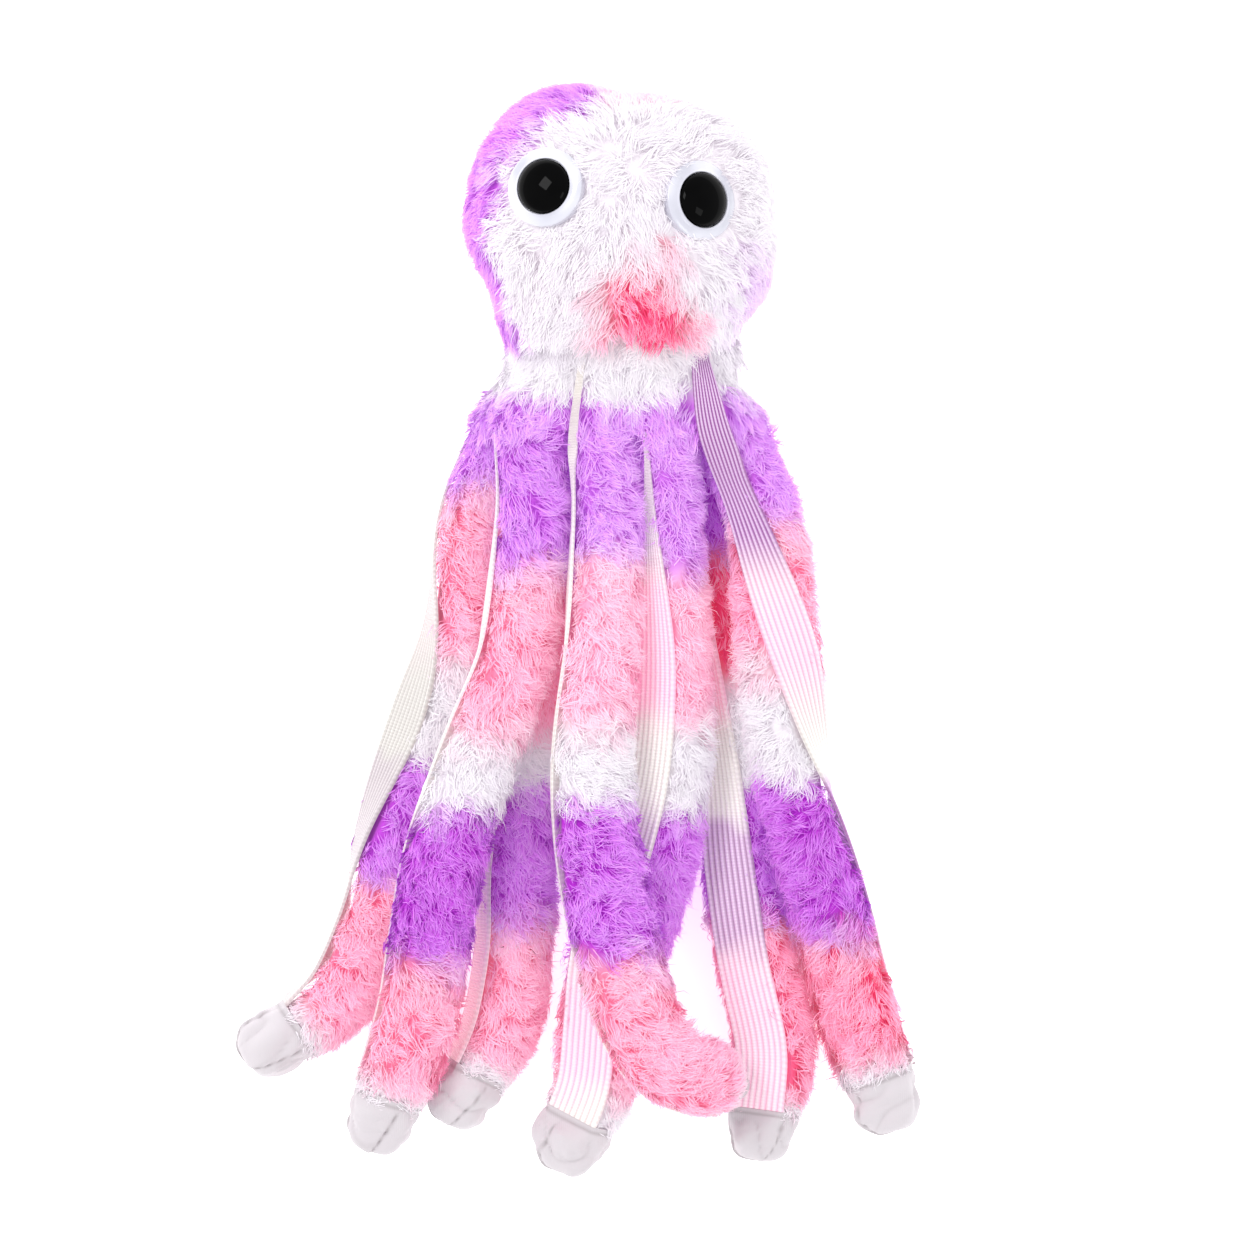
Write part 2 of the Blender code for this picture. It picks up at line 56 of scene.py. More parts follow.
# Half widths across and heights above the neck seam, round the head.
HEAD_OUTLINE = (
    *((0.78, 0.02), (0.97, 0.24), (0.99, 0.50), (0.90, 0.74), (0.60, 0.91)),
    *((0.05, 0.98), (-0.46, 1.00), (-0.82, 0.84), (-0.98, 0.62), (-1.00, 0.40)),
    *((-0.84, 0.18), (-0.78, 0.00), (-0.62, -0.28), (0.00, -0.40), (0.62, -0.28)),
)
HEAD_MIDDLE = np.array([AXIS_X, NECK_Y + 0.48 * HEAD_HEIGHT, HEAD_DEPTH / 2 - 0.0008])
SEAT_GAP = 0.0003
BODY_LENGTH = 0.0165
ROOT_Y = NECK_Y - SEAT_GAP - BODY_LENGTH
ARM_WIDTH = 0.0136
ARM_RADIUS = ARM_WIDTH / 2
ARM_PITCH = ARM_WIDTH + SEAT_GAP
ARM_REACH = 0.1300
ROOT_SHARE, ROOT_TAPER = 0.85, 0.045
TOE_SHARE, TOE_TAPER = 0.93, 0.020
TOE_LENGTH = 0.0090
RIBBON_WIDTH = 0.0098
# How much sooner than the part's the cloth cap starts, where the photograph shows a longer one.
CAP_EARLY = {"arm_1": 0.0025, "arm_2": 0.0025, "arm_3": 0.0015, "arm_5": 0.0020, "arm_7": 0.0015}

# Routes of the arms, close to the part's: arm widths across, share of the reach below the body, arm
# widths up, thickness as a share of the width, and the way that the ribbon faces.
ARMS = {
    "arm_1": (
        (-1.45, 0.0, 0.84, 1.0, -108),
        (-1.86, 0.12, 0.66, 1.0, -94),
        (-2.04, 0.27, 0.51, 1.0, -74),
        (-2.46, 0.4, 0.5, 1.0, -52),
        (-2.96, 0.56, 0.5, 1.0, -78),
        (-3.18, 0.67, 0.5, 1.0, -98),
        (-3.57, 0.755, 0.5, 1.0, -96),
        (-4.24, 0.812, 0.5, 1.0, -78),
    ),
    "arm_2": (
        (-1.15, 0.0, 1.72, 1.0, -85),
        (-1.12, 0.12, 1.52, 1.0, -85),
        (-1.38, 0.29, 1.4, 1.0, -88),
        (-1.8, 0.43, 1.42, 1.0, -110),
        (-2.24, 0.57, 1.4, 1.0, -124),
        (-2.44, 0.69, 1.26, 1.0, -128),
        (-2.6, 0.79, 1.04, 1.0, -126),
        (-2.99, 0.908, 0.74, 1.0, -118),
    ),
    "arm_3": (
        (-0.5, 0.0, 0.62, 1.0, -80),
        (-0.78, 0.15, 0.5, 1.0, -78),
        (-1.02, 0.37, 0.5, 1.0, -76),
        (-1.36, 0.57, 0.5, 1.0, -76),
        (-1.4, 0.7, 0.5, 1.0, -76),
        (-1.58, 0.8, 0.5, 1.0, -77),
        (-1.92, 0.875, 0.5, 1.0, -75),
    ),
    "arm_4": (
        (-0.26, 0.0, 1.8, 1.2, -74),
        (-0.2, 0.06, 1.82, 1.16, -80),
        (-0.17, 0.12, 1.8, 1.1, -85),
        (-0.24, 0.23, 1.74, 1.0, -86),
        (-0.42, 0.41, 1.74, 0.95, -100),
        (-0.36, 0.53, 1.83, 0.88, -120),
        (-0.16, 0.65, 1.92, 0.84, -134),
        (0.12, 0.765, 1.9, 0.86, -136),
        (0.47, 0.840, 1.78, 0.92, -134),
        (0.82, 0.868, 1.56, 1.0, -122),
        (1.03, 0.874, 1.27, 1.0, -118),
        (1.08, 0.876, 1.0, 1.0, -116),
    ),
    "arm_5": (
        (0.53, 0.0, 1.74, 1.26, -42),
        (0.59, 0.12, 1.42, 1.22, -42),
        (0.63, 0.3, 1.22, 1.12, -40),
        (0.58, 0.46, 1.16, 0.92, -38),
        (0.3, 0.59, 1.12, 0.78, -32),
        (-0.06, 0.7, 1.06, 0.76, -26),
        (-0.22, 0.8, 0.92, 0.8, -18),
        (-0.34, 0.88, 0.66, 0.92, -18),
        (-0.55, 0.938, 0.52, 0.98, -18),
    ),
    "arm_6": (
        (1.32, 0.0, 0.8, 1.0, -70),
        (1.36, 0.14, 0.62, 1.0, -70),
        (1.44, 0.3, 0.54, 1.0, -66),
        (1.55, 0.45, 0.5, 1.0, -50),
        (1.54, 0.58, 0.5, 1.0, -28),
        (1.7, 0.71, 0.5, 1.0, -26),
        (1.92, 0.83, 0.5, 1.0, -24),
        (1.82, 0.918, 0.5, 1.0, -18),
    ),
    "arm_7": (
        (1.36, 0.0, 1.58, 1.0, -34),
        (1.74, 0.1, 1.52, 1.0, -30),
        (1.92, 0.2, 1.46, 0.96, -6),
        (2.01, 0.31, 1.4, 0.94, 30),
        (2.13, 0.42, 1.3, 0.98, 66),
        (2.38, 0.54, 1.08, 1.0, 102),
        (2.68, 0.66, 0.8, 1.0, 126),
        (2.95, 0.77, 0.58, 1.0, 134),
        (3.29, 0.880, 0.5, 1.0, 132),
    ),
    "arm_8": (
        (0.41, 0.0, 0.62, 1.0, -100),
        (0.34, 0.14, 0.5, 0.9, -95),
        (0.16, 0.3, 0.41, 0.8, -84),
        (-0.06, 0.46, 0.38, 0.72, -86),
        (-0.16, 0.6, 0.35, 0.66, -86),
        (-0.2, 0.7, 0.35, 0.7, -86),
        (-0.12, 0.76, 0.35, 0.74, -86),
    ),
}
# Ribbons that go on to the neck seam: how far from the axis they meet it, and their width there.
RIBBONS_TO_NECK = {"arm_4": (-0.0062, 0.0011), "arm_7": (0.0130, 0.0028)}
# Widths of the ribbons where their arms start, 1 mm where not said.
RIBBON_TOPS = {"arm_4": 0.0016, "arm_7": 0.0060}

# Dyes of each arm: places along Y in millimetres below the neck seam where the first purple, the first
# pink, the white, the second purple and the second pink band end, how deep each is dyed, below 0 for
# pale, and how much of the purple and the pink its ribbon took up.
DYES = {
    "arm_1": ((27, 56, 75, 96, 140), (0.0, 0.0, 0.0, 0.3, 0.1), (0.25, 0.25)),
    "arm_2": ((42, 69, 84, 111, 140), (0.1, -0.1, 0.0, 0.9, 0.0), (0.35, 0.35)),
    "arm_3": ((42, 69, 80, 104, 130), (0.1, 0.0, 0.0, 0.4, -0.1), (0.35, 0.5)),
    "arm_4": ((39, 67, 82, 110, 150), (-0.35, -0.6, 0.0, 0.5, -0.1), (0.15, 0.15)),
    "arm_5": ((42, 67, 84, 112, 134), (-0.3, -0.6, 0.0, 0.4, 0.1), (0.3, 1.0)),
    # arm_6's pink band is dyed deepest all round: partly real dye and partly painted shade of the gap between
    # arm_5 and arm_7.
    "arm_6": ((38, 60, 78, 103, 138), (0.6, 1.15, 0.0, 0.4, 0.3), (0.7, 0.85)),
    "arm_7": ((33, 58, 77, 106, 129), (-0.1, 0.0, 0.0, 0.8, 0.5), (1.0, 1.0)),
    "arm_8": ((40, 67, 84, 108, 140), (0.0, 0.4, 0.0, 0.5, 0.2), (0.4, 0.4)),
}
# Where the white at the neck ends, and how soft the bands' ends are, in millimetres.
NECK_WHITE = 10.5
SOFT_EDGE = 5.0
CRISP_EDGE = 2.2


def linear(r, g, b):
    """Linear colour from display values of 0 to 1."""
    return tuple(c / 12.92 if c <= 0.04045 else ((c + 0.055) / 1.055) ** 2.4 for c in (r, g, b)) + (1.0,)


def smooth(share):
    share = np.clip(share, 0, 1)
    return share * share * (3 - 2 * share)


def unit(vectors):
    return vectors / np.maximum(np.linalg.norm(vectors, axis=-1, keepdims=True), 1e-12)


def spline(rows, at, closed=False):
    """Catmull-Rom through the rows, read at places from 0 to 1 along it."""
    rows = np.array(rows, float)
    if closed:
        rows = np.vstack([rows[-1:], rows, rows[:2]])
    else:
        rows = np.vstack([2 * rows[0] - rows[1], rows, 2 * rows[-1] - rows[-2]])
    spans = len(rows) - 3
    place = np.clip(np.asarray(at, float), 0, 1) * spans
    i = np.minimum(place.astype(int), spans - 1)
    t = (place - i)[:, None]
    a, b, c, d = rows[i], rows[i + 1], rows[i + 2], rows[i + 3]
    return b + t / 2 * (c - a + t * (2 * a - 5 * b + 4 * c - d + t * (3 * (b - c) + d - a)))


def runs(line):
    """How far along the line each of its points lies."""
    return np.concatenate([[0], np.cumsum(np.linalg.norm(np.diff(line, axis=0), axis=1))])


def between(at, places, column):
    """Numbers or vectors of the column, read between its places."""
    if column.ndim == 1:
        return np.interp(at, places, column)
    return np.stack([np.interp(at, places, part) for part in column.T], axis=1)


def below_neck(points):
    """How far towards the arms' ends the points lie from the neck seam, in millimetres."""
    return (NECK_Y + CENTRED[1] - points[:, 1]) / MM


def wander(points, pitch, seed):
    """A slow random value, mostly from -1 to 1, that changes over about the pitch."""
    draw = np.random.default_rng(seed)
    total = np.zeros(len(points))
    for _ in range(5):
        way = unit(draw.normal(size=3))
        turns = points @ way * (2 * math.pi / (pitch * draw.uniform(0.7, 1.5)))
        total += np.sin(turns + draw.uniform(0, 6.28))
    return total / 3


def stand_for(piece, node):
    """Puts the piece in the place of the part's node, which it hides."""
    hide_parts(node)
    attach(piece, "root")


# Materials


class Shader:
    """A material with a Principled shader, and short ways to add nodes to it."""

    def __init__(self, name, **values):
        self.material = bpy.data.materials.new(name)
        self.material.use_nodes = True
        self.tree = self.material.node_tree
        self.main = self.tree.nodes["Principled BSDF"]
        for key, value in values.items():
            self.main.inputs[key.replace("_", " ")].default_value = value

    def node(self, kind, inputs=None, **settings):
        made = self.tree.nodes.new(kind)
        for key, value in settings.items():
            setattr(made, key, value)
        for key, value in (inputs or {}).items():
            if isinstance(value, bpy.types.NodeSocket):
                self.tree.links.new(value, made.inputs[key])
            else:
                made.inputs[key].default_value = value
        return made

    def link(self, out, key):
        self.tree.links.new(out, self.main.inputs[key])

    def painted_glow(self, colour, strength):
        """Painted glow: the colour, and a little light of that colour which the surface gives off itself,
        standing in for light that seeps through the fibres and lifting the shade between them.
        """
        self.link(colour, "Base Color")
        self.link(colour, "Emission Color")
        self.main.inputs["Emission Strength"].default_value = strength

    def attribute(self, name):
        return self.node("ShaderNodeAttribute", attribute_name=name).outputs["Fac"]

    def ramp(self, factor, stops):
        made = self.node("ShaderNodeValToRGB", {"Fac": factor})
        ramp = made.color_ramp
        while len(ramp.elements) < len(stops):
            ramp.elements.new(0.5)
        for element, (place, colour) in zip(ramp.elements, stops):
            element.position = place
            element.color = linear(*colour)
        return made.outputs["Color"]

    def mix(self, factor, a, b, blend="MIX"):
        inputs = {0: factor, 6: a, 7: b}
        return self.node("ShaderNodeMix", inputs, data_type="RGBA", blend_type=blend).outputs[2]

    def shaded(self, colour, shade):
        grey = self.node("ShaderNodeCombineColor", {0: shade, 1: shade, 2: shade}).outputs[0]
        return self.mix(1.0, colour, grey, "MULTIPLY")

    def dyed(self, white, purple, pink):
        """The mesh's own mix of the white and the two dyes."""
        colour = self.mix(self.attribute("purple"), white, purple)
        return self.mix(self.attribute("pink"), colour, pink)

    def math(self, operation, a, b=0.0, c=0.0):
        return self.node("ShaderNodeMath", {0: a, 1: b, 2: c}, operation=operation).outputs[0]

    def noise(self, scale, detail=2.0):
        place = self.node("ShaderNodeTexCoord").outputs["Object"]
        inputs = {"Vector": place, "Scale": scale, "Detail": detail}
        return self.node("ShaderNodeTexNoise", inputs).outputs[0]

    def bump(self, height, strength, distance):
        made = self.node("ShaderNodeBump", {"Height": height, "Strength": strength, "Distance": distance})
        self.link(made.outputs[0], "Normal")


def fur_material():
    """Pile: each dye goes from deep at the root to pale at the tip."""
    m = Shader("tie_dyed_pile", Roughness=0.9, Specular_IOR_Level=0.1, Sheen_Weight=0.2, Sheen_Roughness=0.4)
    tip = m.math("MULTIPLY_ADD", m.attribute("deep"), -0.4, m.attribute("tip"))
    colour = m.dyed(
        m.ramp(tip, ((0.0, (0.91, 0.88, 0.91)), (0.4, (0.93, 0.912, 0.935)), (1.0, (0.94, 0.925, 0.945)))),
        m.ramp(tip, ((0.0, (0.75, 0.22, 0.83)), (0.4, (0.86, 0.52, 0.93)), (1.0, (0.92, 0.73, 0.97)))),
        m.ramp(tip, ((0.0, (0.96, 0.32, 0.52)), (0.4, (0.985, 0.68, 0.81)), (1.0, (1.0, 0.83, 0.91)))),
    )
    shade = m.node("ShaderNodeMapRange", {0: m.attribute("shade"), 3: 0.93, 4: 1.0}).outputs[0]
    # Painted glow: the pile gives off a little light of its own colour.
    m.painted_glow(m.shaded(colour, shade), 0.12)
    return m.material


THREAD_PITCH, BEAD_PITCH = 0.55, 0.95


def ribbon_material():
    """Ribbed ribbon: shiny ribs whose tops are lighter, partly from dye taken up between them and partly as a
    painted sheen, and fine threads across.
    """
    m = Shader("ribbed_ribbon", Roughness=0.3, Specular_IOR_Level=0.55, Sheen_Weight=0.2, Sheen_Roughness=0.3)
    rib = m.attribute("rib")
    # Lighter on the rib tops: partly the dye taken up between them, partly painted sheen.
    colour = m.dyed(
        m.ramp(rib, ((0.0, (0.83, 0.80, 0.79)), (0.5, (0.91, 0.89, 0.875)), (1.0, (0.96, 0.945, 0.93)))),
        m.ramp(rib, ((0.0, (0.58, 0.34, 0.58)), (0.5, (0.70, 0.50, 0.73)), (1.0, (0.94, 0.86, 0.95)))),
        m.ramp(rib, ((0.0, (0.95, 0.70, 0.82)), (0.5, (0.965, 0.80, 0.87)), (1.0, (0.98, 0.89, 0.935)))),
    )
    run = m.attribute("run")
    thread = m.math("SINE", m.math("MULTIPLY", run, 2 * math.pi / THREAD_PITCH))
    bead = m.math("SINE", m.math("MULTIPLY", run, 2 * math.pi / BEAD_PITCH))
    height = m.node("ShaderNodeMix", {0: m.attribute("edge"), 2: thread, 3: bead}).outputs[0]
    thread = m.math("MULTIPLY_ADD", height, 0.5, 0.5)
    low = m.math("MULTIPLY_ADD", m.attribute("edge"), -0.08, 0.95)
    dim = m.node("ShaderNodeMapRange", {0: thread, 3: low, 4: 1.0}).outputs[0]
    # Painted glow: the ribbon gives off a little light of its own colour.
    m.painted_glow(m.shaded(colour, m.math("MULTIPLY", dim, m.attribute("shade"))), 0.2)
    m.bump(thread, 0.5, 0.00012)
    return m.material


def cloth_material():
    """Smooth matt cloth of the toe caps, with a fine plain weave, darker along its seam, and with painted
    shade in its creases and hollows.
    """
    m = Shader("toe_cloth", Roughness=0.9, Specular_IOR_Level=0.2, Sheen_Weight=0.25, Sheen_Roughness=0.5)
    stops = ((0.0, (0.50, 0.44, 0.45)), (0.5, (0.67, 0.64, 0.655)), (1.0, (0.815, 0.79, 0.81)))
    m.link(m.ramp(m.attribute("seam_and_crease_shade"), stops), "Base Color")
    place = m.node("ShaderNodeTexCoord").outputs["Object"]
    weave = m.node("ShaderNodeTexWave", {"Vector": place, "Scale": 900.0, "Distortion": 1.0})
    weave = m.math("ADD", weave.outputs[1], m.noise(500.0, 3.0))
    m.bump(weave, 0.25, 0.0001)
    return m.material


def dish_material():
    """Milky white plastic of the eyes."""
    m = Shader("milky_plastic", Roughness=0.2, Coat_Weight=0.6, Coat_Roughness=0.05)
    cloud = m.noise(150.0, 1.0)
    m.link(m.ramp(cloud, ((0.35, (0.79, 0.79, 0.84)), (0.65, (0.90, 0.90, 0.94)))), "Base Color")
    m.bump(m.noise(900.0), 0.04, 0.0001)
    return m.material


def pupil_material():
    """Black polished plastic of the pupils."""
    m = Shader("black_plastic", Roughness=0.05, Specular_IOR_Level=0.05)
    cloud = m.noise(300.0)
    m.link(m.ramp(cloud, ((0.3, (0.004, 0.004, 0.006)), (0.7, (0.012, 0.012, 0.014)))), "Base Color")
    return m.material


def floor_material():
    m = Shader("pale_floor", Roughness=0.9, Specular_IOR_Level=0.1, Emission_Strength=0.6)
    m.main.inputs["Emission Color"].default_value = (1, 1, 1, 1)
    cloud = m.noise(3.0)
    m.link(m.ramp(cloud, ((0.3, (0.985, 0.985, 0.985)), (0.7, (0.995, 0.995, 0.995)))), "Base Color")
    return m.material


# Meshes


def build(name, points, triangles, normals, values, material):
    """A triangle mesh object with smooth shading by these normals and these values at its points."""
    mesh = bpy.data.meshes.new(name)
    mesh.vertices.add(len(points))
    mesh.vertices.foreach_set("co", np.ascontiguousarray(points, np.float32).ravel())
    mesh.loops.add(3 * len(triangles))
    mesh.loops.foreach_set("vertex_index", np.ascontiguousarray(triangles, np.int32).ravel())
    mesh.polygons.add(len(triangles))
    mesh.polygons.foreach_set("loop_start", np.arange(0, 3 * len(triangles), 3, dtype=np.int32))
    mesh.update(calc_edges=True)
    for key, value in values.items():
        layer = mesh.attributes.new(key, "FLOAT", "POINT")
        layer.data.foreach_set("value", np.ascontiguousarray(value, np.float32))
    mesh.polygons.foreach_set("use_smooth", np.ones(len(triangles), bool))
    if normals is not None:
        mesh.normals_split_custom_set_from_vertices([tuple(n) for n in normals])
    mesh.materials.append(material)
    made = bpy.data.objects.new(name, mesh)
    bpy.context.scene.collection.objects.link(made)
    return made


def grid_triangles(rows, columns, wrap=False):
    """Triangles of a grid of points, rows by columns."""
    r, c = np.meshgrid(np.arange(rows - 1), np.arange(columns if wrap else columns - 1), indexing="ij")
    r, c = r.ravel(), c.ravel()
    d = (c + 1) % columns
    a, b, e, f = r * columns + c, r * columns + d, (r + 1) * columns + d, (r + 1) * columns + c
    return np.concatenate([np.stack([a, b, e], 1), np.stack([a, e, f], 1)])


def end_fans(rows, columns):
    """Triangles that close both ends of a wrapped grid."""
    fan = np.array([(0, k, k + 1) for k in range(1, columns - 1)])
    return np.concatenate([fan[:, ::-1], fan + (rows - 1) * columns])


def closed_tube(rows, columns):
    return np.concatenate([grid_triangles(rows, columns, wrap=True), end_fans(rows, columns)])


def weld(points, triangles):
    """Joins points that lie at the same place."""
    keys = np.round(points * 1e6).astype(int)
    _, first, back = np.unique(keys, axis=0, return_index=True, return_inverse=True)
    return points[first], back.ravel()[triangles]


def crosses(points, triangles):
    """A vector square to each triangle, as long as twice its area."""
    a, b, c = (points[triangles[:, k]] for k in range(3))
    return np.cross(b - a, c - a)


def vertex_normals(points, triangles):
    flat = crosses(points, triangles)
    total = np.zeros_like(points)
    for k in range(3):
        np.add.at(total, triangles[:, k], flat)
    return unit(total)


# Density of the pile where it faces the floor, as a share of what it is elsewhere.
UNSEEN_SHARE = 0.22


class Surface:
    """Where pile grows: points of the pile's mean tip height, and values there.

    The skin has all the triangles and the ends, and pile grows on none of the ends or the bare triangles.
    """

    def __init__(self, points, triangles, ends, values, radius, bare=None):
        self.points = points
        self.triangles = triangles
        self.furry = triangles if bare is None else triangles[~bare]
        self.ends = ends
        self.normals = vertex_normals(points, triangles)
        self.values = values
        self.radius = radius

    def scatter(self, count, draw):
        """Random places over the surface by its density, fewer where it faces down."""
        flat = crosses(self.points, self.furry)
        area = np.linalg.norm(flat, axis=1)
        facing = flat[:, 2] / np.maximum(area, 1e-15)
        dense = self.values["dense"][self.furry]
        weight = area * dense.mean(axis=1)
        weight *= UNSEEN_SHARE + (1 - UNSEEN_SHARE) * smooth((facing + 0.55) / 0.7)
        weight[dense.min(axis=1) < 0.05] = 0
        pick = draw.choice(len(weight), count, p=weight / weight.sum())
        u, v = draw.random(count), draw.random(count)
        over = u + v > 1
        u[over], v[over] = 1 - u[over], 1 - v[over]
        share = np.stack([1 - u - v, u, v], axis=1)[..., None]

        def read(array):
            found = array[self.furry[pick]]
            if found.ndim == 2:
                return (found * share[..., 0]).sum(axis=1)
            return (found * share).sum(axis=1)

        places = {key: read(value) for key, value in self.values.items()}
        places["point"] = read(self.points)
        places["normal"] = unit(read(self.normals))
        return places


# How far the roots and the skin lie below the mean height of the tips.
PILE_SINK = 1.1 * MM
SKIN_SINK = 0.8 * MM
FLOOR_CLEAR = 0.12 * MM
# A lock: its strands, how far they spread, and how far its tip, its strands' tips and their bends stand up
# and lie over at length 1.
STRANDS_PER_LOCK = 16
LOCK_SPREAD = 0.85 * MM
LOCK_HIGH, TIP_HIGH, BEND_HIGH = 1.75 * MM, 1.7 * MM, 1.9 * MM
LEAN, BEND_LEAN = 3.7 * MM, 1.5 * MM
DRAWN_IN = 0.72
STRAND_WIDTH = 0.20 * MM
# Long guard hairs among the undercoat, and single strays.
GUARD_SHARE, GUARD_LONG = 0.35, 1.12
STRAY_SHARE, STRAY_LONG, STRAY_WIDE = 0.04, 1.35, 0.6
UNDERCOAT_TIP = 0.85
UNDERCOAT_STEPS = np.array([0.0, 0.5, 1.0])
GUARD_STEPS = np.array([0.0, 0.27, 0.52, 0.77, 1.0])
SKIN_TIP, SKIN_SHADE = 0.2, 0.3
DYE_BLUR = 0.10


def grow(curve, up, wide, steps, draw):
    """Points, triangles and normals of strands, each with a point at both ends and pairs between."""
    root, middle, tip, wave = (part[:, None] for part in curve)
    t = steps[None, :, None]
    line = (1 - t) ** 2 * root + 2 * t * (1 - t) * middle + t**2 * tip + wave * np.sin(2 * math.pi * t)
    line[..., 2] = np.maximum(line[..., 2], FLOOR_CLEAR)
    along = unit(np.gradient(line, axis=1))
    side = unit(np.cross(along, up[:, None] + draw.normal(0, 0.25, (len(up), 1, 3))))
    half = wide[:, None] / 2 * np.interp(t, (0, 0.3, 0.75, 1), (0, 1, 0.7, 0))
    left, right = line - side * half, line + side * half
    last = len(steps) - 1
    shape = [(0, last, 1)]
    for k in range(1, last - 1):
        shape += [(k, last + k - 1, last + k), (k, last + k, k + 1)]
    shape.append((last - 1, 2 * last - 2, 2 * last - 1))
    triangles = np.array(shape)[None] + 2 * last * np.arange(len(up))[:, None, None]
    face_up = np.cross(side, along)
    face_up *= np.sign((face_up * up[:, None]).sum(axis=2, keepdims=True))
    soft = unit(0.85 * up[:, None] + 0.15 * face_up)
    points = np.concatenate([left[:, :-1], right[:, 1:]], axis=1).reshape(-1, 3)
    normals = np.concatenate([soft[:, :-1], soft[:, 1:]], axis=1).reshape(-1, 3)
    return points, triangles.reshape(-1, 3), normals


def turned_by(angle, ahead, aside):
    return ahead * np.cos(angle)[:, None] + aside * np.sin(angle)[:, None]


def from_eye(points, place, out):
    """Ways from an eye's middle to the points, their heights above it and how far off its axis they are."""
    off = points - place
    high = (off * out).sum(axis=1)
    return off, high, np.linalg.norm(off - high[:, None] * out, axis=1)


def clear_of_eyes(points):
    """Whether pile may reach there, which it does a little further over the rims' inner sides."""
    clear = np.ones(len(points), bool)
    for place, out in EYES.values():
        off, high, apart = from_eye(points, place, out)
        inner = np.clip(-off[:, 0] * np.sign(place[0] - AXIS_X) / EYE_RADIUS, 0, 1)
        clear &= (apart > EYE_RADIUS - (0.6 + 1.0 * inner) * MM) | (high < -1.5 * MM)
    return clear


def fur(name, surface, strands, material, seed, calm=1.0):
    """Skin and pile of one piece: strands in locks whose tips draw together, turned less if calm is low."""
    draw = np.random.default_rng(seed)
    locks = strands // STRANDS_PER_LOCK
    at = surface.scatter(locks, draw)
    normal = at["normal"]
    comb = unit(at["comb"] - normal * (at["comb"] * normal).sum(axis=1, keepdims=True))
    across = np.cross(normal, comb)
    sway = calm * (0.85 * wander(at["point"], 8 * MM, seed + 1) + draw.normal(0, 0.32, locks))
    reach = at["long"] * draw.uniform(0.85, 1.2, locks)
    lift = 1 + calm * draw.uniform(-0.2, 0.25, locks)
    lock_root = at["point"] - normal * PILE_SINK
    lock_tip = lock_root + normal * (LOCK_HIGH * lift * np.sqrt(at["long"]))[:, None]
    lock_tip += turned_by(sway, comb, across) * (LEAN * reach)[:, None]
    curl = calm * (draw.normal(0, 1.1 * MM, locks) + 0.7 * MM * wander(at["point"], 6 * MM, seed + 2))
    sweep = calm * draw.normal(0, 0.38 * MM, locks)

    who = np.repeat(np.arange(locks), STRANDS_PER_LOCK)
    count = len(who)
    spread = draw.normal(0, LOCK_SPREAD, (count, 2))
    offset = comb[who] * spread[:, :1] + across[who] * spread[:, 1:]
    bow = (spread**2).sum(axis=1, keepdims=True) / (2 * surface.radius)
    root = lock_root[who] + offset - normal[who] * bow
    up = unit(normal[who] + offset / surface.radius)
    way = turned_by(sway[who] + draw.normal(0, 0.22, count), comb[who], across[who])
    long = (reach[who] * draw.uniform(0.75, 1.2, count))[:, None]
    stray = (draw.random(count) < STRAY_SHARE)[:, None]
    guard = (draw.random(count) < GUARD_SHARE)[:, None]
    long = np.where(stray, long * STRAY_LONG, np.where(guard, long * GUARD_LONG, long))
    high = (lift[who] * draw.uniform(0.85, 1.15, count) * np.sqrt(at["long"][who]))[:, None]
    aside = np.cross(up, way) * (curl[who] + draw.normal(0, 0.25 * MM, count))[:, None]
    own_tip = root + up * TIP_HIGH * high + way * LEAN * long - aside * 0.5
    draw_in = np.where(stray, 0.0, DRAWN_IN) * draw.uniform(0.7, 1.1, (count, 1))
    tip = own_tip * (1 - draw_in) + lock_tip[who] * draw_in
    tip += draw.normal(0, 0.18 * MM, (count, 3))
    middle = root + up * BEND_HIGH * high + way * BEND_LEAN * long + aside
    wave = np.cross(up, way) * (sweep[who] + draw.normal(0, 0.1 * MM, count))[:, None]
    wide = STRAND_WIDTH * draw.uniform(0.75, 1.25, (count, 1)) * np.where(stray, STRAY_WIDE, 1.0)
    wide = wide * np.where(up[:, 2] < -0.2, 2.0, 1.0)[:, None]

    shown = clear_of_eyes(tip) & clear_of_eyes(middle)
    grown = []
    total = 0
    for pick, steps, palest in (
        (~guard[:, 0] & shown, UNDERCOAT_STEPS, UNDERCOAT_TIP),
        (guard[:, 0] & shown, GUARD_STEPS, 1.0),
    ):
        curve = (root[pick], middle[pick], tip[pick], wave[pick])
        points, triangles, normals = grow(curve, up[pick], wide[pick], steps, draw)
        paleness = np.tile(np.concatenate([steps[:-1], steps[1:]]) * palest, pick.sum())
        owner = np.repeat(who[pick], 2 * len(steps) - 2)
        grown.append((points, triangles + total, normals, paleness, owner))
        total += len(points)
    points, triangles, normals, paleness, owner = (np.concatenate(parts) for parts in zip(*grown))

    blur = draw.normal(0, DYE_BLUR, locks)
    for dye in ("purple", "pink"):
        mixed = (at[dye] > 0.02) & (at[dye] < 0.98)
        at[dye] = np.clip(at[dye] + blur * mixed, 0, 1)
    shade = draw.random(locks)
    skin = surface.points - surface.normals * SKIN_SINK
    skin[:, 2] = np.maximum(skin[:, 2], FLOOR_CLEAR / 2)
    base = len(skin)
    values = {
        "tip": np.concatenate([np.full(base, SKIN_TIP), paleness]),
        "shade": np.concatenate([np.full(base, SKIN_SHADE), shade[owner]]),
    }
    for key in ("deep", "purple", "pink"):
        values[key] = np.concatenate([surface.values[key], at[key][owner]])
    return build(
        name,
        np.concatenate([skin, points]),
        np.concatenate([surface.triangles, surface.ends, triangles + base]),
        np.concatenate([surface.normals, normals]),
        values,
        material,
    )


# Arms


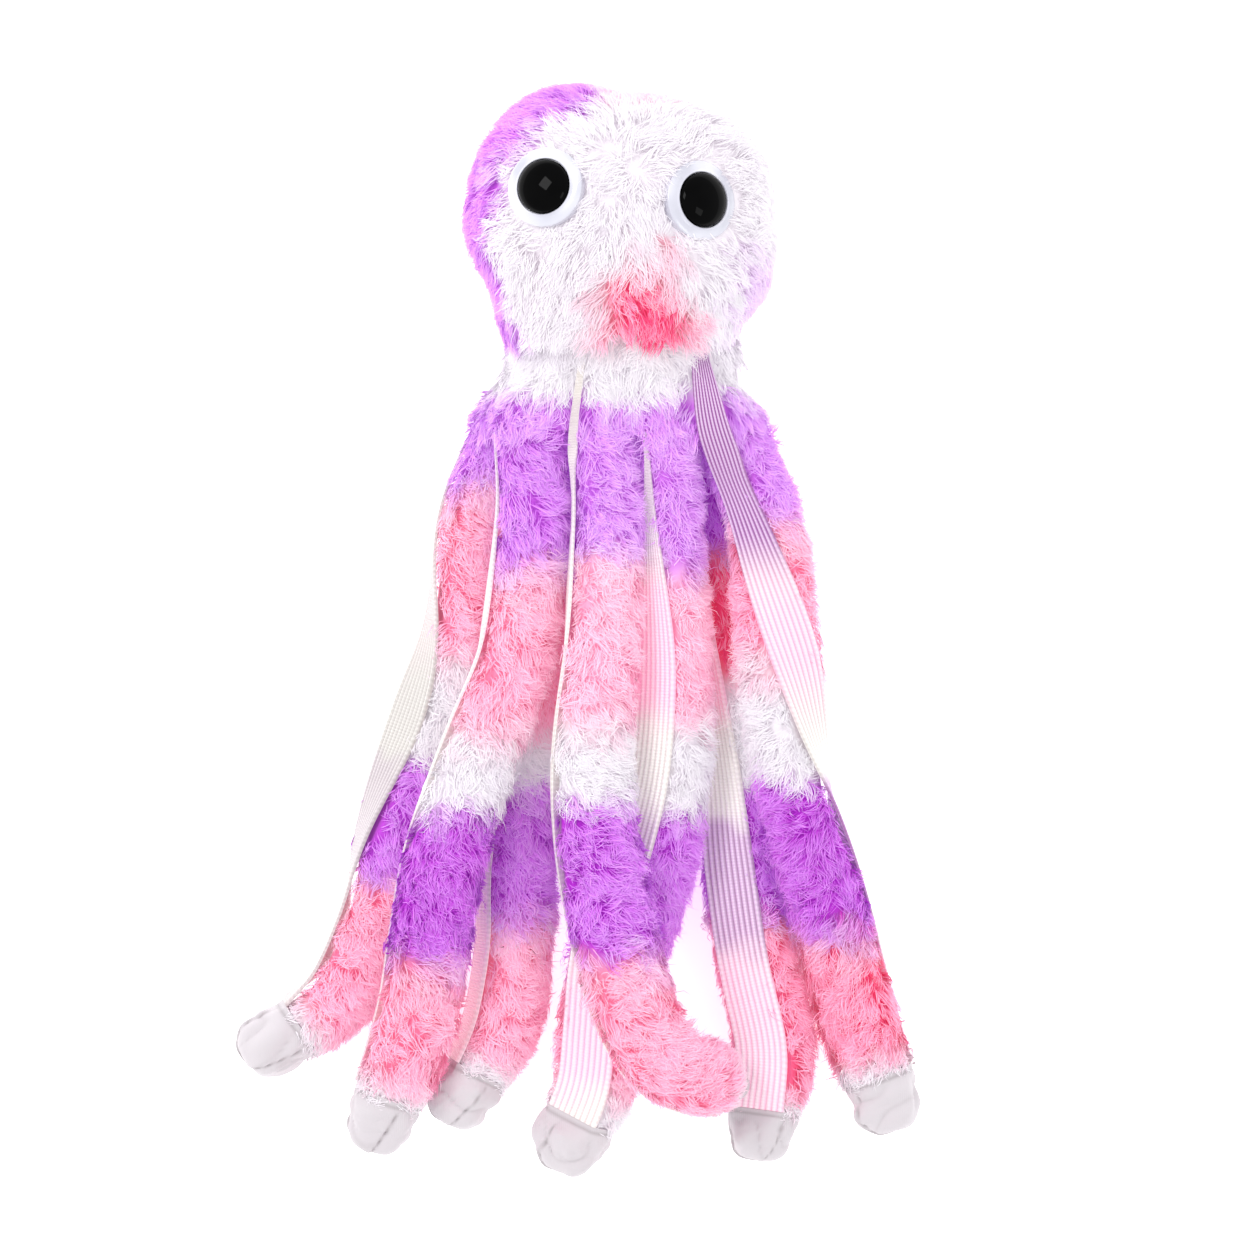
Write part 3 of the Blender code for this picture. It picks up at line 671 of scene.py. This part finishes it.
class Arm:
    """One arm's route and section, read at any run along it."""

    def __init__(self, name):
        self.name = name
        fine = spline(ARMS[name], np.linspace(0, 1, 900))
        line = self.place(fine)
        run = runs(line)
        self.length = float(run[-1])
        self.fur_end = self.length - CAP_EARLY.get(name, 0.0)
        ahead = np.gradient(line, axis=0)
        # It leaves the body straight on.
        own, straight = np.linspace(0, 1, 12)[:, None], np.linspace(1, 0, 12)[:, None]
        ahead[:12] = ahead[:12] * own + np.array([0, -1e-4, 0]) * straight
        ahead = unit(ahead)
        side = unit(np.cross([0, 0, 1], ahead))
        root = ROOT_SHARE + (1 - ROOT_SHARE) * smooth(run / ROOT_TAPER)
        toe = TOE_SHARE + (1 - TOE_SHARE) * smooth((self.length - run) / TOE_TAPER)
        ribbon_top = RIBBON_TOPS.get(name, 1.0 * MM)
        self.run = run
        self.columns = {
            "centre": line,
            "ahead": ahead,
            "side": side,
            "above": np.cross(ahead, side),
            "wide": ARM_RADIUS * root * toe / np.sqrt(fine[:, 3]),
            "tall": ARM_RADIUS * root * toe * fine[:, 3],
            "roll": np.radians(fine[:, 4]),
            "ribbon": ribbon_top + (RIBBON_WIDTH - ribbon_top) * smooth(run / ROOT_TAPER),
        }

    @staticmethod
    def place(rows):
        across = AXIS_X + rows[:, 0] * ARM_PITCH
        along = ROOT_Y - SEAT_GAP - rows[:, 1] * ARM_REACH
        return np.stack([across, along, rows[:, 2] * ARM_PITCH], axis=1) + CENTRED

    def read(self, run):
        """Centre, directions and sizes there, going straight on past the end."""
        found = {key: between(run, self.run, column) for key, column in self.columns.items()}
        found["run"] = run
        for key in ("ahead", "side", "above"):
            found[key] = unit(found[key])
        found["centre"] = found["centre"] + found["ahead"] * np.maximum(run - self.length, 0)[:, None]
        return found

    def flat(self, at):
        """The ribbon's seat at these sections: its middle, its ways across and out, and its opening."""
        wide, tall = at["wide"], at["tall"]
        out = np.stack([np.sin(at["roll"]), np.cos(at["roll"])], axis=1)
        reach = np.hypot(wide * out[:, 0], tall * out[:, 1])
        share = np.sqrt(np.maximum(0.05, 1 - (at["ribbon"] / 2 * reach / (wide * tall)) ** 2))
        middle = (share / reach)[:, None] * np.stack([wide**2 * out[:, 0], tall**2 * out[:, 1]], axis=1)
        turn = np.arctan2(tall * out[:, 1], wide * out[:, 0])
        return middle, out, turn, np.arccos(share)

    @staticmethod
    def in_space(at, across, up):
        """Points of the sections, by how far across and up they lie from the sections' middles."""
        side, above = (at[key][:, None] * flat[..., None] for key, flat in (("side", across), ("above", up)))
        return at["centre"][:, None] + side + above

    def dye(self, points):
        """Purple and pink at points, by how far below the neck seam they lie."""
        below = below_neck(points) + 1.6 * wander(points, 11 * MM, 5) + 0.8 * wander(points, 4 * MM, 6)
        ends, depths, _ = DYES[self.name]
        soft = (CRISP_EDGE, SOFT_EDGE, SOFT_EDGE, CRISP_EDGE, SOFT_EDGE, SOFT_EDGE)
        past = [smooth((below - end) / blur / 2 + 0.5) for end, blur in zip((NECK_WHITE, *ends), soft)]
        bands = [past[k] * (1 - past[k + 1]) for k in range(5)]
        deep = sum(band * depth for band, depth in zip(bands, depths))
        return np.clip(bands[0] + bands[3], 0, 1), np.clip(bands[1] + bands[4], 0, 1), deep


ARM_ROWS = 110
ARM_COLUMNS = 26
END_FADE = 6 * MM


def arm_surface(arm):
    """The sleeve's outside as a tube, with no pile where the ribbon lies."""
    at = arm.read(np.linspace(0, arm.fur_end, ARM_ROWS))
    _, _, turn, opening = arm.flat(at)
    share = np.linspace(0, 1, ARM_COLUMNS)
    angle = (turn + opening)[:, None] + (2 * math.pi - 2 * opening)[:, None] * share[None]
    lump = 1 + 0.02 * np.sin(np.linspace(0, 21, ARM_ROWS))[:, None]
    cos, sin = np.cos(angle), np.sin(angle)
    wide, tall = at["wide"][:, None] * cos * lump, at["tall"][:, None] * sin * lump
    points = arm.in_space(at, wide, tall).reshape(-1, 3)
    round_way = at["above"][:, None] * cos[..., None] - at["side"][:, None] * sin[..., None]
    lean = np.sin(2 * math.pi * share)[None, :, None]
    comb = unit(at["ahead"][:, None] * 0.75 + round_way * lean)
    # Shorter pile beside the ribbon and at the cap, where the dye fades as well.
    edge = np.minimum(share, 1 - share)[None] * (2 * math.pi - 2 * opening[:, None]) * ARM_RADIUS
    to_end = (arm.fur_end - at["run"])[:, None]
    long = (0.45 + 0.55 * smooth(edge / (3.0 * MM))) * (0.6 + 0.4 * smooth(to_end / END_FADE))
    fade = np.repeat(1 - 0.95 * smooth((at["run"] - arm.fur_end + END_FADE) / END_FADE), ARM_COLUMNS)
    purple, pink, deep = arm.dye(points)
    values = {
        "comb": comb.reshape(-1, 3),
        "purple": purple * fade,
        "pink": pink * fade,
        "deep": deep,
        "long": long.ravel(),
        "dense": np.ones(len(points)),
    }
    triangles = grid_triangles(ARM_ROWS, ARM_COLUMNS, wrap=True)
    column = triangles % ARM_COLUMNS
    under_ribbon = (column.max(axis=1) == ARM_COLUMNS - 1) & (column.min(axis=1) == 0)
    return Surface(points, triangles, end_fans(ARM_ROWS, ARM_COLUMNS), values, ARM_RADIUS, under_ribbon)


def ribbon_path(arm, body_tree):
    """Middle, way across, way out and width of the ribbon, from its top end down."""
    at = arm.read(np.linspace(0, arm.fur_end, 90))
    middle, out, _, _ = arm.flat(at)
    seat = arm.in_space(at, middle[:, :1], middle[:, 1:])[:, 0]
    outward = at["side"] * out[:, :1] + at["above"] * out[:, 1:]
    sideways = at["side"] * out[:, 1:] - at["above"] * out[:, :1]
    rows = [seat + outward * SEAT_GAP, sideways, outward, at["ribbon"]]
    if arm.name not in RIBBONS_TO_NECK:
        return rows
    keep = at["centre"][:, 1] < ROOT_Y + CENTRED[1] - 6.5 * MM
    rows = [row[keep] for row in rows]
    start_x = seat[0, 0]
    shift_x, neck_width = RIBBONS_TO_NECK[arm.name]
    end_x = AXIS_X + shift_x + CENTRED[0]
    # From the seam it lies on the body, tilted as the body is under it.
    over = []
    for share in np.linspace(0.03, 0.99, 9):
        x = end_x + (start_x - end_x) * share
        y = NECK_Y - SEAT_GAP - share * BODY_LENGTH + CENTRED[1]
        width = neck_width + (RIBBON_TOPS[arm.name] - neck_width) * share
        above = [Vector((x + shift * width, y, 0.06)) for shift in (-0.5, 0.0, 0.5)]
        heights = [body_tree.ray_cast(place, Vector((0, 0, -1)))[0].z for place in above]
        lean = math.atan2(heights[2] - heights[0], width)
        z = max(heights[1], (heights[0] + heights[2]) / 2) + 2 * SEAT_GAP
        cos, sin = math.cos(lean), math.sin(lean)
        over.append(((x, y, z), (cos, 0, sin), (-sin, 0, cos), width))
    return [np.concatenate([np.array(part), row]) for part, row in zip(zip(*over), rows)]


RIBS = 9
RIBBON_ROWS = 120
RIBBON_FRONT = 0.36 * MM
RIB_HIGH = 0.38 * MM
# Painted shade: the ribbons that lie open to the light are given a darker colour, so that they come out a
# little greyer.
RIBBON_PAINTED_SHADE = {"arm_1": 0.70, "arm_7": 0.93}
# Ends of the purple and the pink band on a ribbon that was dyed apart from its arm, in millimetres below
# the neck seam, and how far down that goes.
RIBBON_BANDS = {"arm_7": (42, 64)}
RIBBON_OWN_TO = 76
# How much further down than on the arm's fur the bands lie.
RIBBON_LAGS = {"arm_6": 0.007}


def settle(rows, times):
    """Evens out rows a little, keeping both ends."""
    for _ in range(times):
        rows[1:-1] = (rows[:-2] + 2 * rows[1:-1] + rows[2:]) / 4
    return rows


def make_ribbon(arm, body_tree, material):
    middle, sideways, outward, width = ribbon_path(arm, body_tree)
    run = runs(middle)
    even = np.linspace(0, run[-1], RIBBON_ROWS)
    middle, width = (settle(between(even, run, column), 6) for column in (middle, width))
    outward, sideways = (unit(settle(between(even, run, column), 8)) for column in (outward, sideways))
    place = np.linspace(-0.5, 0.5, 3 * RIBS + 1)
    rib = 0.5 - 0.5 * np.cos(2 * math.pi * RIBS * (place + 0.5))
    rise = RIBBON_FRONT + RIB_HIGH * rib
    rise[0] = rise[-1] = RIBBON_FRONT * 0.6
    profile = np.concatenate([[(-0.5, 0)], np.stack([place, rise], axis=1), [(0.5, 0)]])
    ribs = np.concatenate([[0.5], rib, [0.5]])
    shown = np.minimum(1.0, width / (0.9 * RIBBON_WIDTH))
    points = (
        middle[:, None]
        + sideways[:, None] * (profile[None, :, 0] * width[:, None])[..., None]
        + outward[:, None] * (profile[None, :, 1] * (0.5 + 0.5 * shown[:, None]))[..., None]
    ).reshape(-1, 3)
    triangles = closed_tube(RIBBON_ROWS, len(profile))[:, ::-1]
    purple, pink, _ = arm.dye(points + np.array([0, RIBBON_LAGS.get(arm.name, 0.0), 0]))
    if arm.name in RIBBON_BANDS:
        below = below_neck(points)
        second, third = (smooth((below - edge) / 16 + 0.5) for edge in RIBBON_BANDS[arm.name])
        purple = np.where(below < RIBBON_OWN_TO, 1 - second, purple)
        pink = np.where(below < RIBBON_OWN_TO, second * (1 - third), pink)
    purple_share, pink_share = DYES[arm.name][2]
    edge = np.abs(profile[:, 0]) > 0.5 - 0.7 / RIBS
    values = {
        "rib": np.tile(ribs, RIBBON_ROWS),
        "run": np.repeat(even / MM, len(profile)),
        "edge": np.tile(edge.astype(float), RIBBON_ROWS),
        "purple": purple * purple_share,
        "pink": pink * pink_share,
        # Painted shade of each ribbon, as a share of its colour.
        "shade": np.full(len(points), RIBBON_PAINTED_SHADE.get(arm.name, 1.0)),
    }
    made = build(f"{arm.name}_ribbed_ribbon", points, triangles, None, values, material)
    made.data.set_sharp_from_angle(angle=math.radians(50))
    return made


TOE_ROWS = 34
TOE_COLUMNS = 72
TOE_DOME = 0.5
CAP_GAP = 0.06 * MM
CAP_OVER_RIBBON = 0.10
FLAP_RISE = 0.4 * MM
CREASE_WIDTH = 0.2 * MM
SEAM_AT = 0.055


def make_toe(arm, material, seed):
    """Cloth drawn over the end like a wrapped parcel: flaps that overlap lengthwise, and loose creases."""
    draw = np.random.default_rng(seed)
    share = np.linspace(0, 0.995, TOE_ROWS)
    length = TOE_LENGTH + arm.length - arm.fur_end
    along = length * np.sin(share * math.pi / 2) + CAP_GAP
    at = arm.read(arm.fur_end + along)
    _, _, flat_turn, opening = arm.flat({key: value[:1] for key, value in at.items()})
    share = share[:, None]
    angle = np.linspace(0, 2 * math.pi, TOE_COLUMNS, endpoint=False)[None]
    ring = np.cos(share * math.pi / 2) ** TOE_DOME

    # It starts with the sleeve's section, flat under the ribbon, and goes on as a rounded square.
    off_flat = (angle - flat_turn + math.pi) % (2 * math.pi) - math.pi
    chord = np.cos(opening) / np.maximum(np.cos(off_flat), np.cos(opening)) + CAP_OVER_RIBBON
    seat = np.where(np.abs(off_flat) < opening, np.minimum(chord, 1.0), 1.0)
    top = math.atan2(at["above"][0, 2], at["side"][0, 2])
    square = 2 + 1.3 * smooth(share / 0.6)
    lean = angle - top + draw.uniform(-0.25, 0.25)
    reach = (np.abs(np.cos(lean)) ** square + np.abs(np.sin(lean)) ** square) ** (-1 / square)
    reach = reach * (1 - 0.05 * (square - 2))
    reach = seat + (reach - seat) * smooth(share / 0.3)

    first = top + draw.choice([-1, 1]) * draw.uniform(0.5, 0.8)
    edges = first + np.cumsum([0, *draw.uniform(1.5, 2.1, 2)])
    lag = (angle[..., None] - edges - 0.5 * share[..., None]) % (2 * math.pi)
    behind = lag.min(axis=-1)
    gap = np.minimum(lag, 2 * math.pi - lag).min(axis=-1)
    off_crease = gap * np.maximum(ring, 0.05) * at["wide"][:, None]
    flap = np.exp(-behind / 0.5) * smooth((share - 0.1) / 0.4)
    crease = np.exp(-((off_crease / CREASE_WIDTH) ** 2)) * smooth((share - 0.05) / 0.12)
    seam = np.exp(-(((share - SEAM_AT) / 0.02) ** 2)) + 0 * angle
    size = ring * reach * (1 - 0.02 * seam)
    wide, tall = at["wide"][:, None] * size * np.cos(angle), at["tall"][:, None] * size * np.sin(angle)
    points = arm.in_space(at, wide, tall).reshape(-1, 3)
    middle = at["centre"][TOE_ROWS // 3]
    loose = (smooth((share - 0.03) / 0.2) + 0 * angle).ravel()
    ridge = np.abs(wander(points, 10 * MM, seed))
    fine = np.abs(wander(points, 4.5 * MM, seed + 1))
    calm = (1 - 0.8 * smooth((share - 0.4) / 0.3) + 0 * angle).ravel()
    rise = loose * calm * MM * (1.2 * (ridge - 0.35) + 0.5 * (fine - 0.4))
    rise += (FLAP_RISE * flap - 0.30 * MM * crease * (1 - 0.6 * share)).ravel()
    points += unit(points - middle) * rise[:, None]
    points[:, 2] = np.maximum(points[:, 2], FLOOR_CLEAR)
    # The seam's own darker line, and painted shade in the creases and in the hollows of the crumple.
    seam_and_crease_shade = (1 - 0.5 * crease) * (1 - 0.4 * seam)
    seam_and_crease_shade = seam_and_crease_shade.ravel() * (1 - 0.12 * loose * np.exp(-((ridge / 0.1) ** 2)))
    triangles = closed_tube(TOE_ROWS, TOE_COLUMNS)
    made = build(f"{arm.name}_folded_cap", points, triangles, None, {"seam_and_crease_shade": seam_and_crease_shade}, material)
    made.data.set_sharp_from_angle(angle=math.radians(24))
    return made


# Head


EYES = {
    "left": (np.array([-4.6, 78.6, 39.2]) * MM, np.array([-0.3824, 0.1492, 0.9119])),
    "right": (np.array([21.1, 76.4, 38.0]) * MM, np.array([0.55, 0.10, 0.829])),
}
EYE_RADIUS = 0.0070
EYE_HEIGHT = 0.0025
PUPIL_RADIUS = 0.0048
HEAD_COLUMNS = 96
HEAD_ROWS = 48


def head_surface():
    """The head as the part has it, with its pile combed from the top of the face, its dye, and painted shade
    on the lower face.
    """
    outline = spline(HEAD_OUTLINE, np.arange(HEAD_COLUMNS) / HEAD_COLUMNS, closed=True)
    outline = outline * (HEAD_WIDTH / 2, HEAD_HEIGHT) + (AXIS_X, NECK_Y)
    tilt = np.linspace(-math.pi / 2 * 0.985, math.pi / 2 * 0.985, HEAD_ROWS)
    inwards = np.cos(tilt) ** HEAD_PUFF
    height = np.sign(tilt) * np.abs(np.sin(tilt)) ** HEAD_PUFF * HEAD_DEPTH / 2
    flat = HEAD_MIDDLE[:2] + (outline[None] - HEAD_MIDDLE[:2]) * inwards[:, None, None]
    tall = HEAD_MIDDLE[2] + height[:, None] + 0 * flat[..., 0]
    points = np.concatenate([flat, tall[..., None]], axis=2) + CENTRED
    points = points.reshape(-1, 3)
    triangles = closed_tube(HEAD_ROWS, HEAD_COLUMNS)
    # Cut flat at the neck seam, where nothing grows.
    neck = NECK_Y + CENTRED[1]
    points[:, 1] = np.maximum(points[:, 1], neck - 0.2 * MM)
    points[:, 2] = np.maximum(points[:, 2], 0.0)
    kept = points[triangles][:, :, 1].max(axis=1) > neck + 0.1 * MM
    base = triangles[~kept]
    base = base[np.linalg.norm(crosses(points, base), axis=1) > 1e-12]
    triangles = triangles[kept]

    # Places from here on are in millimetres.
    x, y, z = (points[:, k] / MM for k in range(3))
    comb = unit(points - np.array([9.0, 83.0, 44.0]) * MM)
    comb[:, 1] -= 0.25
    middle = np.exp(-((x - 9) ** 2 + (y - 83) ** 2) / 30)
    comb += middle[:, None] * np.array([0.8, -0.5, 0.0]) * np.sign(wander(points, 5 * MM, 23))[:, None]
    ragged = 1.6 * wander(points, 7 * MM, 21) + 0.9 * wander(points, 2.5 * MM, 22)
    heights, edges = (52, 58, 64, 70, 76, 82, 88, 92, 96), (-9, -11, -13.5, -14.5, -14, -12, -7, 0, 4)
    edge = np.interp(y, heights, edges)
    left = smooth((edge - x + ragged) / (2.5 + 4.0 * smooth((y - 74) / 12)) + 0.5)
    crown = smooth((y - 92.0 + ragged) / 3.0 + 0.5) * smooth((4.0 - x) / 3.0 + 0.5)
    lip = smooth((1 - np.hypot((x - 11.9) / 8.8, (y - 55.0) / 14.5) + 0.10 * ragged) / 0.75 + 0.25)
    lip *= z > 20
    top = 0.35 * smooth((y - 93.0) / 3 + 0.5) * smooth((x - 4) / 3) * smooth((20 - x) / 4)
    cheek = 0.35 * smooth((x - 28 + ragged) / 5 + 0.5) * smooth((68 - y) / 6 + 0.5)
    back = smooth((16 - z) / 4 + 0.5)
    tie = smooth(np.sin((x * 0.5 + y) / 9 + 0.5 * ragged) * 2 + 0.5)
    purple = np.clip(left + crown + cheek, 0, 1) * (1 - back) + back * np.clip(left + 0.5 * tie, 0, 1)
    pink = np.clip(lip + top, 0, 1)
    near_neck = smooth((58.5 - y) / 4)
    comb[:, 0] += near_neck * np.tanh((x - 9) / 9) * 0.3
    points -= vertex_normals(points, triangles) * (near_neck * 0.5 * MM)[:, None]
    deep = (0.9 + 0.5 * smooth((x - 7) / 5)) * lip + 0.2 * np.clip(left + crown + cheek, 0, 1)
    # Painted shade: the lower face away from the lip and the purple edge is pushed towards the root colours,
    # a little greyer.
    deep += 0.8 * (1 - lip) * (1 - left) * smooth((72 - y) / 8) * smooth((10 - x) / 6)
    long = 1.1 + 0.2 * near_neck
    dense = np.where(points[:, 1] > neck, 1 + near_neck, 0.0)
    values = {"comb": comb, "purple": purple, "pink": pink, "deep": deep, "long": long, "dense": dense}
    surface = Surface(points, triangles, base, values, radius=0.022)
    # None grows under the eyes' dishes, and it is short and combed away round them.
    for place, out in EYES.values():
        off, high, apart = from_eye(points, place, out)
        near = (apart < EYE_RADIUS - 0.4 * MM) & (high > -4 * MM)
        dense[near] = 0.0
        ring = (apart < EYE_RADIUS + 2.5 * MM) & (high > -4 * MM)
        away = unit(off - high[:, None] * out)
        outwards = (comb * away).sum(axis=1) > 0
        long[ring] *= np.where(outwards, 0.6, 0.55)[ring]
        comb[ring] = unit(comb[ring] + 0.5 * away[ring] * outwards[ring, None])
        points[near] -= surface.normals[near] * 0.7 * MM
    return surface


def turned(name, profile, material, place, out, sides=72):
    """A round piece about its axis from (radius, height) points."""
    profile = np.array(profile)
    angle = np.linspace(0, 2 * math.pi, sides, endpoint=False)
    turn = np.array(Vector(out).to_track_quat("Z", "Y").to_matrix())
    radius, height = profile[:, :1], profile[:, 1:]
    flat = np.stack([radius * np.cos(angle), radius * np.sin(angle), height + 0 * angle], axis=2)
    points = flat.reshape(-1, 3) @ turn.T + place
    triangles = closed_tube(len(profile), sides)
    made = build(name, points, triangles, None, {}, material)
    made.data.set_sharp_from_angle(angle=math.radians(40))
    return made


def arc(radius, low, high, steps, end=0.0):
    """(radius, height) points of a dome from its edge to just short of its top."""
    turns = np.linspace(0, math.pi / 2 * (1 - end), steps)
    return [(radius * math.cos(a), low + (high - low) * math.sin(a)) for a in turns]


def make_eyes(dish, pupil):
    rim = 0.66 * EYE_HEIGHT
    slope = [(r, h) for r, h in arc(EYE_RADIUS, rim, EYE_HEIGHT, 28) if r > PUPIL_RADIUS + 0.5 * MM]
    top = slope[-1][1]
    floor = EYE_HEIGHT - 1.0 * MM
    bead = ((0.42, 0.16), (0.30, 0.24), (0.18, 0.18), (0.12, -0.10))
    ring = [(0.01 * MM, 0), (EYE_RADIUS * 0.95, 0), (EYE_RADIUS, 0.2 * MM), (EYE_RADIUS, rim - 0.2 * MM)]
    ring += slope + [(PUPIL_RADIUS + off * MM, top + high * MM) for off, high in bead]
    ring += [(PUPIL_RADIUS + 0.12 * MM, floor), (0.01 * MM, floor)]
    base = floor + 0.3 * MM
    ball = [(0.01 * MM, base), (PUPIL_RADIUS * 0.99, base), (PUPIL_RADIUS, base + 0.1 * MM)]
    ball += arc(PUPIL_RADIUS, top - 0.05 * MM, base + 2.6 * MM, 22, 0.01)
    for side, (place, out) in EYES.items():
        made = turned(f"eye_dish_{side}_looks", ring, dish, place, out)
        stand_for(made, f"eye_dish_{side}")
        made = turned(f"eye_pupil_{side}_looks", ball, pupil, place, out)
        stand_for(made, f"eye_pupil_{side}")


# Body


def cad_mesh(node):
    """Points and triangles of a solid of the part."""
    mesh = NODES[node].data
    points = np.empty(3 * len(mesh.vertices), np.float32)
    mesh.vertices.foreach_get("co", points)
    mesh.calc_loop_triangles()
    triangles = np.empty(3 * len(mesh.loop_triangles), np.int32)
    mesh.loop_triangles.foreach_get("vertices", triangles)
    return weld(points.reshape(-1, 3).astype(float), triangles.reshape(-1, 3))


def body_surface(points, triangles, paths):
    """The gathered skirt, subdivided, with pile on its sides only and none under the ribbons."""
    a, b, c = (triangles[:, k] for k in range(3))
    n, count = len(triangles), len(points)
    halves = [(points[p] + points[q]) / 2 for p, q in ((a, b), (b, c), (c, a))]
    i, j, k = (count + np.arange(n) + n * m for m in range(3))
    points = np.vstack([points, *halves])
    quarters = ((a, i, k), (i, b, j), (k, j, c), (i, j, k))
    points, triangles = weld(points, np.concatenate([np.stack(quarter, 1) for quarter in quarters]))
    level = np.abs(unit(crosses(points, triangles))[:, 1]) > 0.93
    sides, ends = triangles[~level], triangles[level]
    below = below_neck(points) + 0.9 * wander(points, 8 * MM, 31)
    purple = smooth((below - NECK_WHITE) / 4 + 0.5)
    comb = np.tile(np.array([0.0, -1.0, 0.0]), (len(points), 1))
    comb[:, 0] = 0.4 * (points[:, 0] - AXIS_X) / 0.02
    # A little slimmer than the solid, and most so at the waist.
    waist = 1.0 + 1.3 * np.exp(-(((below - 7.5) / 4) ** 2)) - smooth((below - 9) / 5)
    edge = np.clip(np.abs(points[:, 0] - AXIS_X) / 0.016, 0, 1) ** 3
    points[:, 0] -= np.sign(points[:, 0] - AXIS_X) * MM * waist * edge
    # At the seam it stands up against the head's, and is denser and longer.
    comb += np.outer(smooth((1.8 - below) / 1.5), (0.0, 1.2, 0.8))
    seam = smooth((3.0 - below) / 2)
    dense = 1 + 1.5 * seam
    for middle, _, _, width in paths:
        order = np.argsort(middle[:, 1])
        along = middle[order, 1]
        away = np.abs(points[:, 0] - np.interp(points[:, 1], along, middle[order, 0]))
        half = np.interp(points[:, 1], along, width[order]) / 2
        dense[(away < half - 0.2 * MM) & (points[:, 2] > 15 * MM)] = 0.0
    none = np.zeros(len(points))
    values = {"comb": comb, "purple": purple, "pink": none, "deep": none - 0.3, "long": 1.05 + 0.3 * seam}
    return Surface(points, sides, ends, values | {"dense": dense}, radius=0.015)


# The set


def make_stage():
    """A pale floor just under the toy, white all round, and two soft lights."""
    bpy.ops.mesh.primitive_plane_add(size=3.0, location=(0, 0, -0.1 * MM))
    floor = bpy.context.object
    floor.name = "pale_floor"
    floor.data.materials.append(floor_material())
    world = bpy.data.worlds.new("studio")
    bpy.context.scene.world = world
    world.use_nodes = True
    background = world.node_tree.nodes["Background"]
    background.inputs["Color"].default_value = (1.0, 1.0, 1.0, 1.0)
    background.inputs["Strength"].default_value = 1.0
    for name, place, size, power in (
        ("key", (-0.55, 0.45, 0.9), 0.4, 4.6),
        ("fill", (0.7, -0.3, 0.9), 0.4, 1.6),
    ):
        light = bpy.data.lights.new(name, "AREA")
        light.size = size
        light.energy = power
        made = bpy.data.objects.new(name, light)
        bpy.context.scene.collection.objects.link(made)
        made.location = place
        made.rotation_euler = (-Vector(place)).to_track_quat("-Z", "Y").to_euler()
    bpy.context.scene.view_settings.view_transform = "Standard"
    bpy.context.scene.cycles.diffuse_bounces = 6


def make_camera():
    """Straight down on the toy, far away. It sees this width at this level above the floor."""
    camera = bpy.data.cameras.new("camera")
    away, seen, level = 2.4, 0.2208, 0.016
    camera.sensor_width = 36.0
    camera.lens = camera.sensor_width * (away - level) / seen
    camera.clip_end = 10.0
    made = bpy.data.objects.new("camera", camera)
    bpy.context.scene.collection.objects.link(made)
    made.location = (0.00907, 0.00217, away)
    bpy.context.scene.camera = made


HEAD_STRANDS, BODY_STRANDS = 39000, 15000
ARM_STRANDS, HIDDEN_ARM_STRANDS = 24500, 4000


def main():
    make_camera()
    make_stage()
    pile = fur_material()
    ribbon = ribbon_material()
    cloth = cloth_material()

    points, triangles = cad_mesh("body")
    tree = BVHTree.FromPolygons([tuple(p) for p in points], [tuple(int(i) for i in t) for t in triangles])

    head = fur("head_pile", head_surface(), HEAD_STRANDS, pile, 100, calm=0.75)
    stand_for(head, "head")
    paths = [ribbon_path(Arm(name), tree) for name in RIBBONS_TO_NECK]
    body = fur("body_pile", body_surface(points, triangles, paths), BODY_STRANDS, pile, 200)
    stand_for(body, "body")
    make_eyes(dish_material(), pupil_material())
    for k, name in enumerate(ARMS):
        arm = Arm(name)
        strands = HIDDEN_ARM_STRANDS if name == "arm_8" else ARM_STRANDS
        sleeve = fur(f"{name}_pile", arm_surface(arm), strands, pile, 300 + 10 * k)
        stand_for(sleeve, f"{name}_fur_sleeve")
        stand_for(make_ribbon(arm, tree, ribbon), f"{name}_ribbon")
        stand_for(make_toe(arm, cloth, 400 + k), f"{name}_toe_cap")


main()
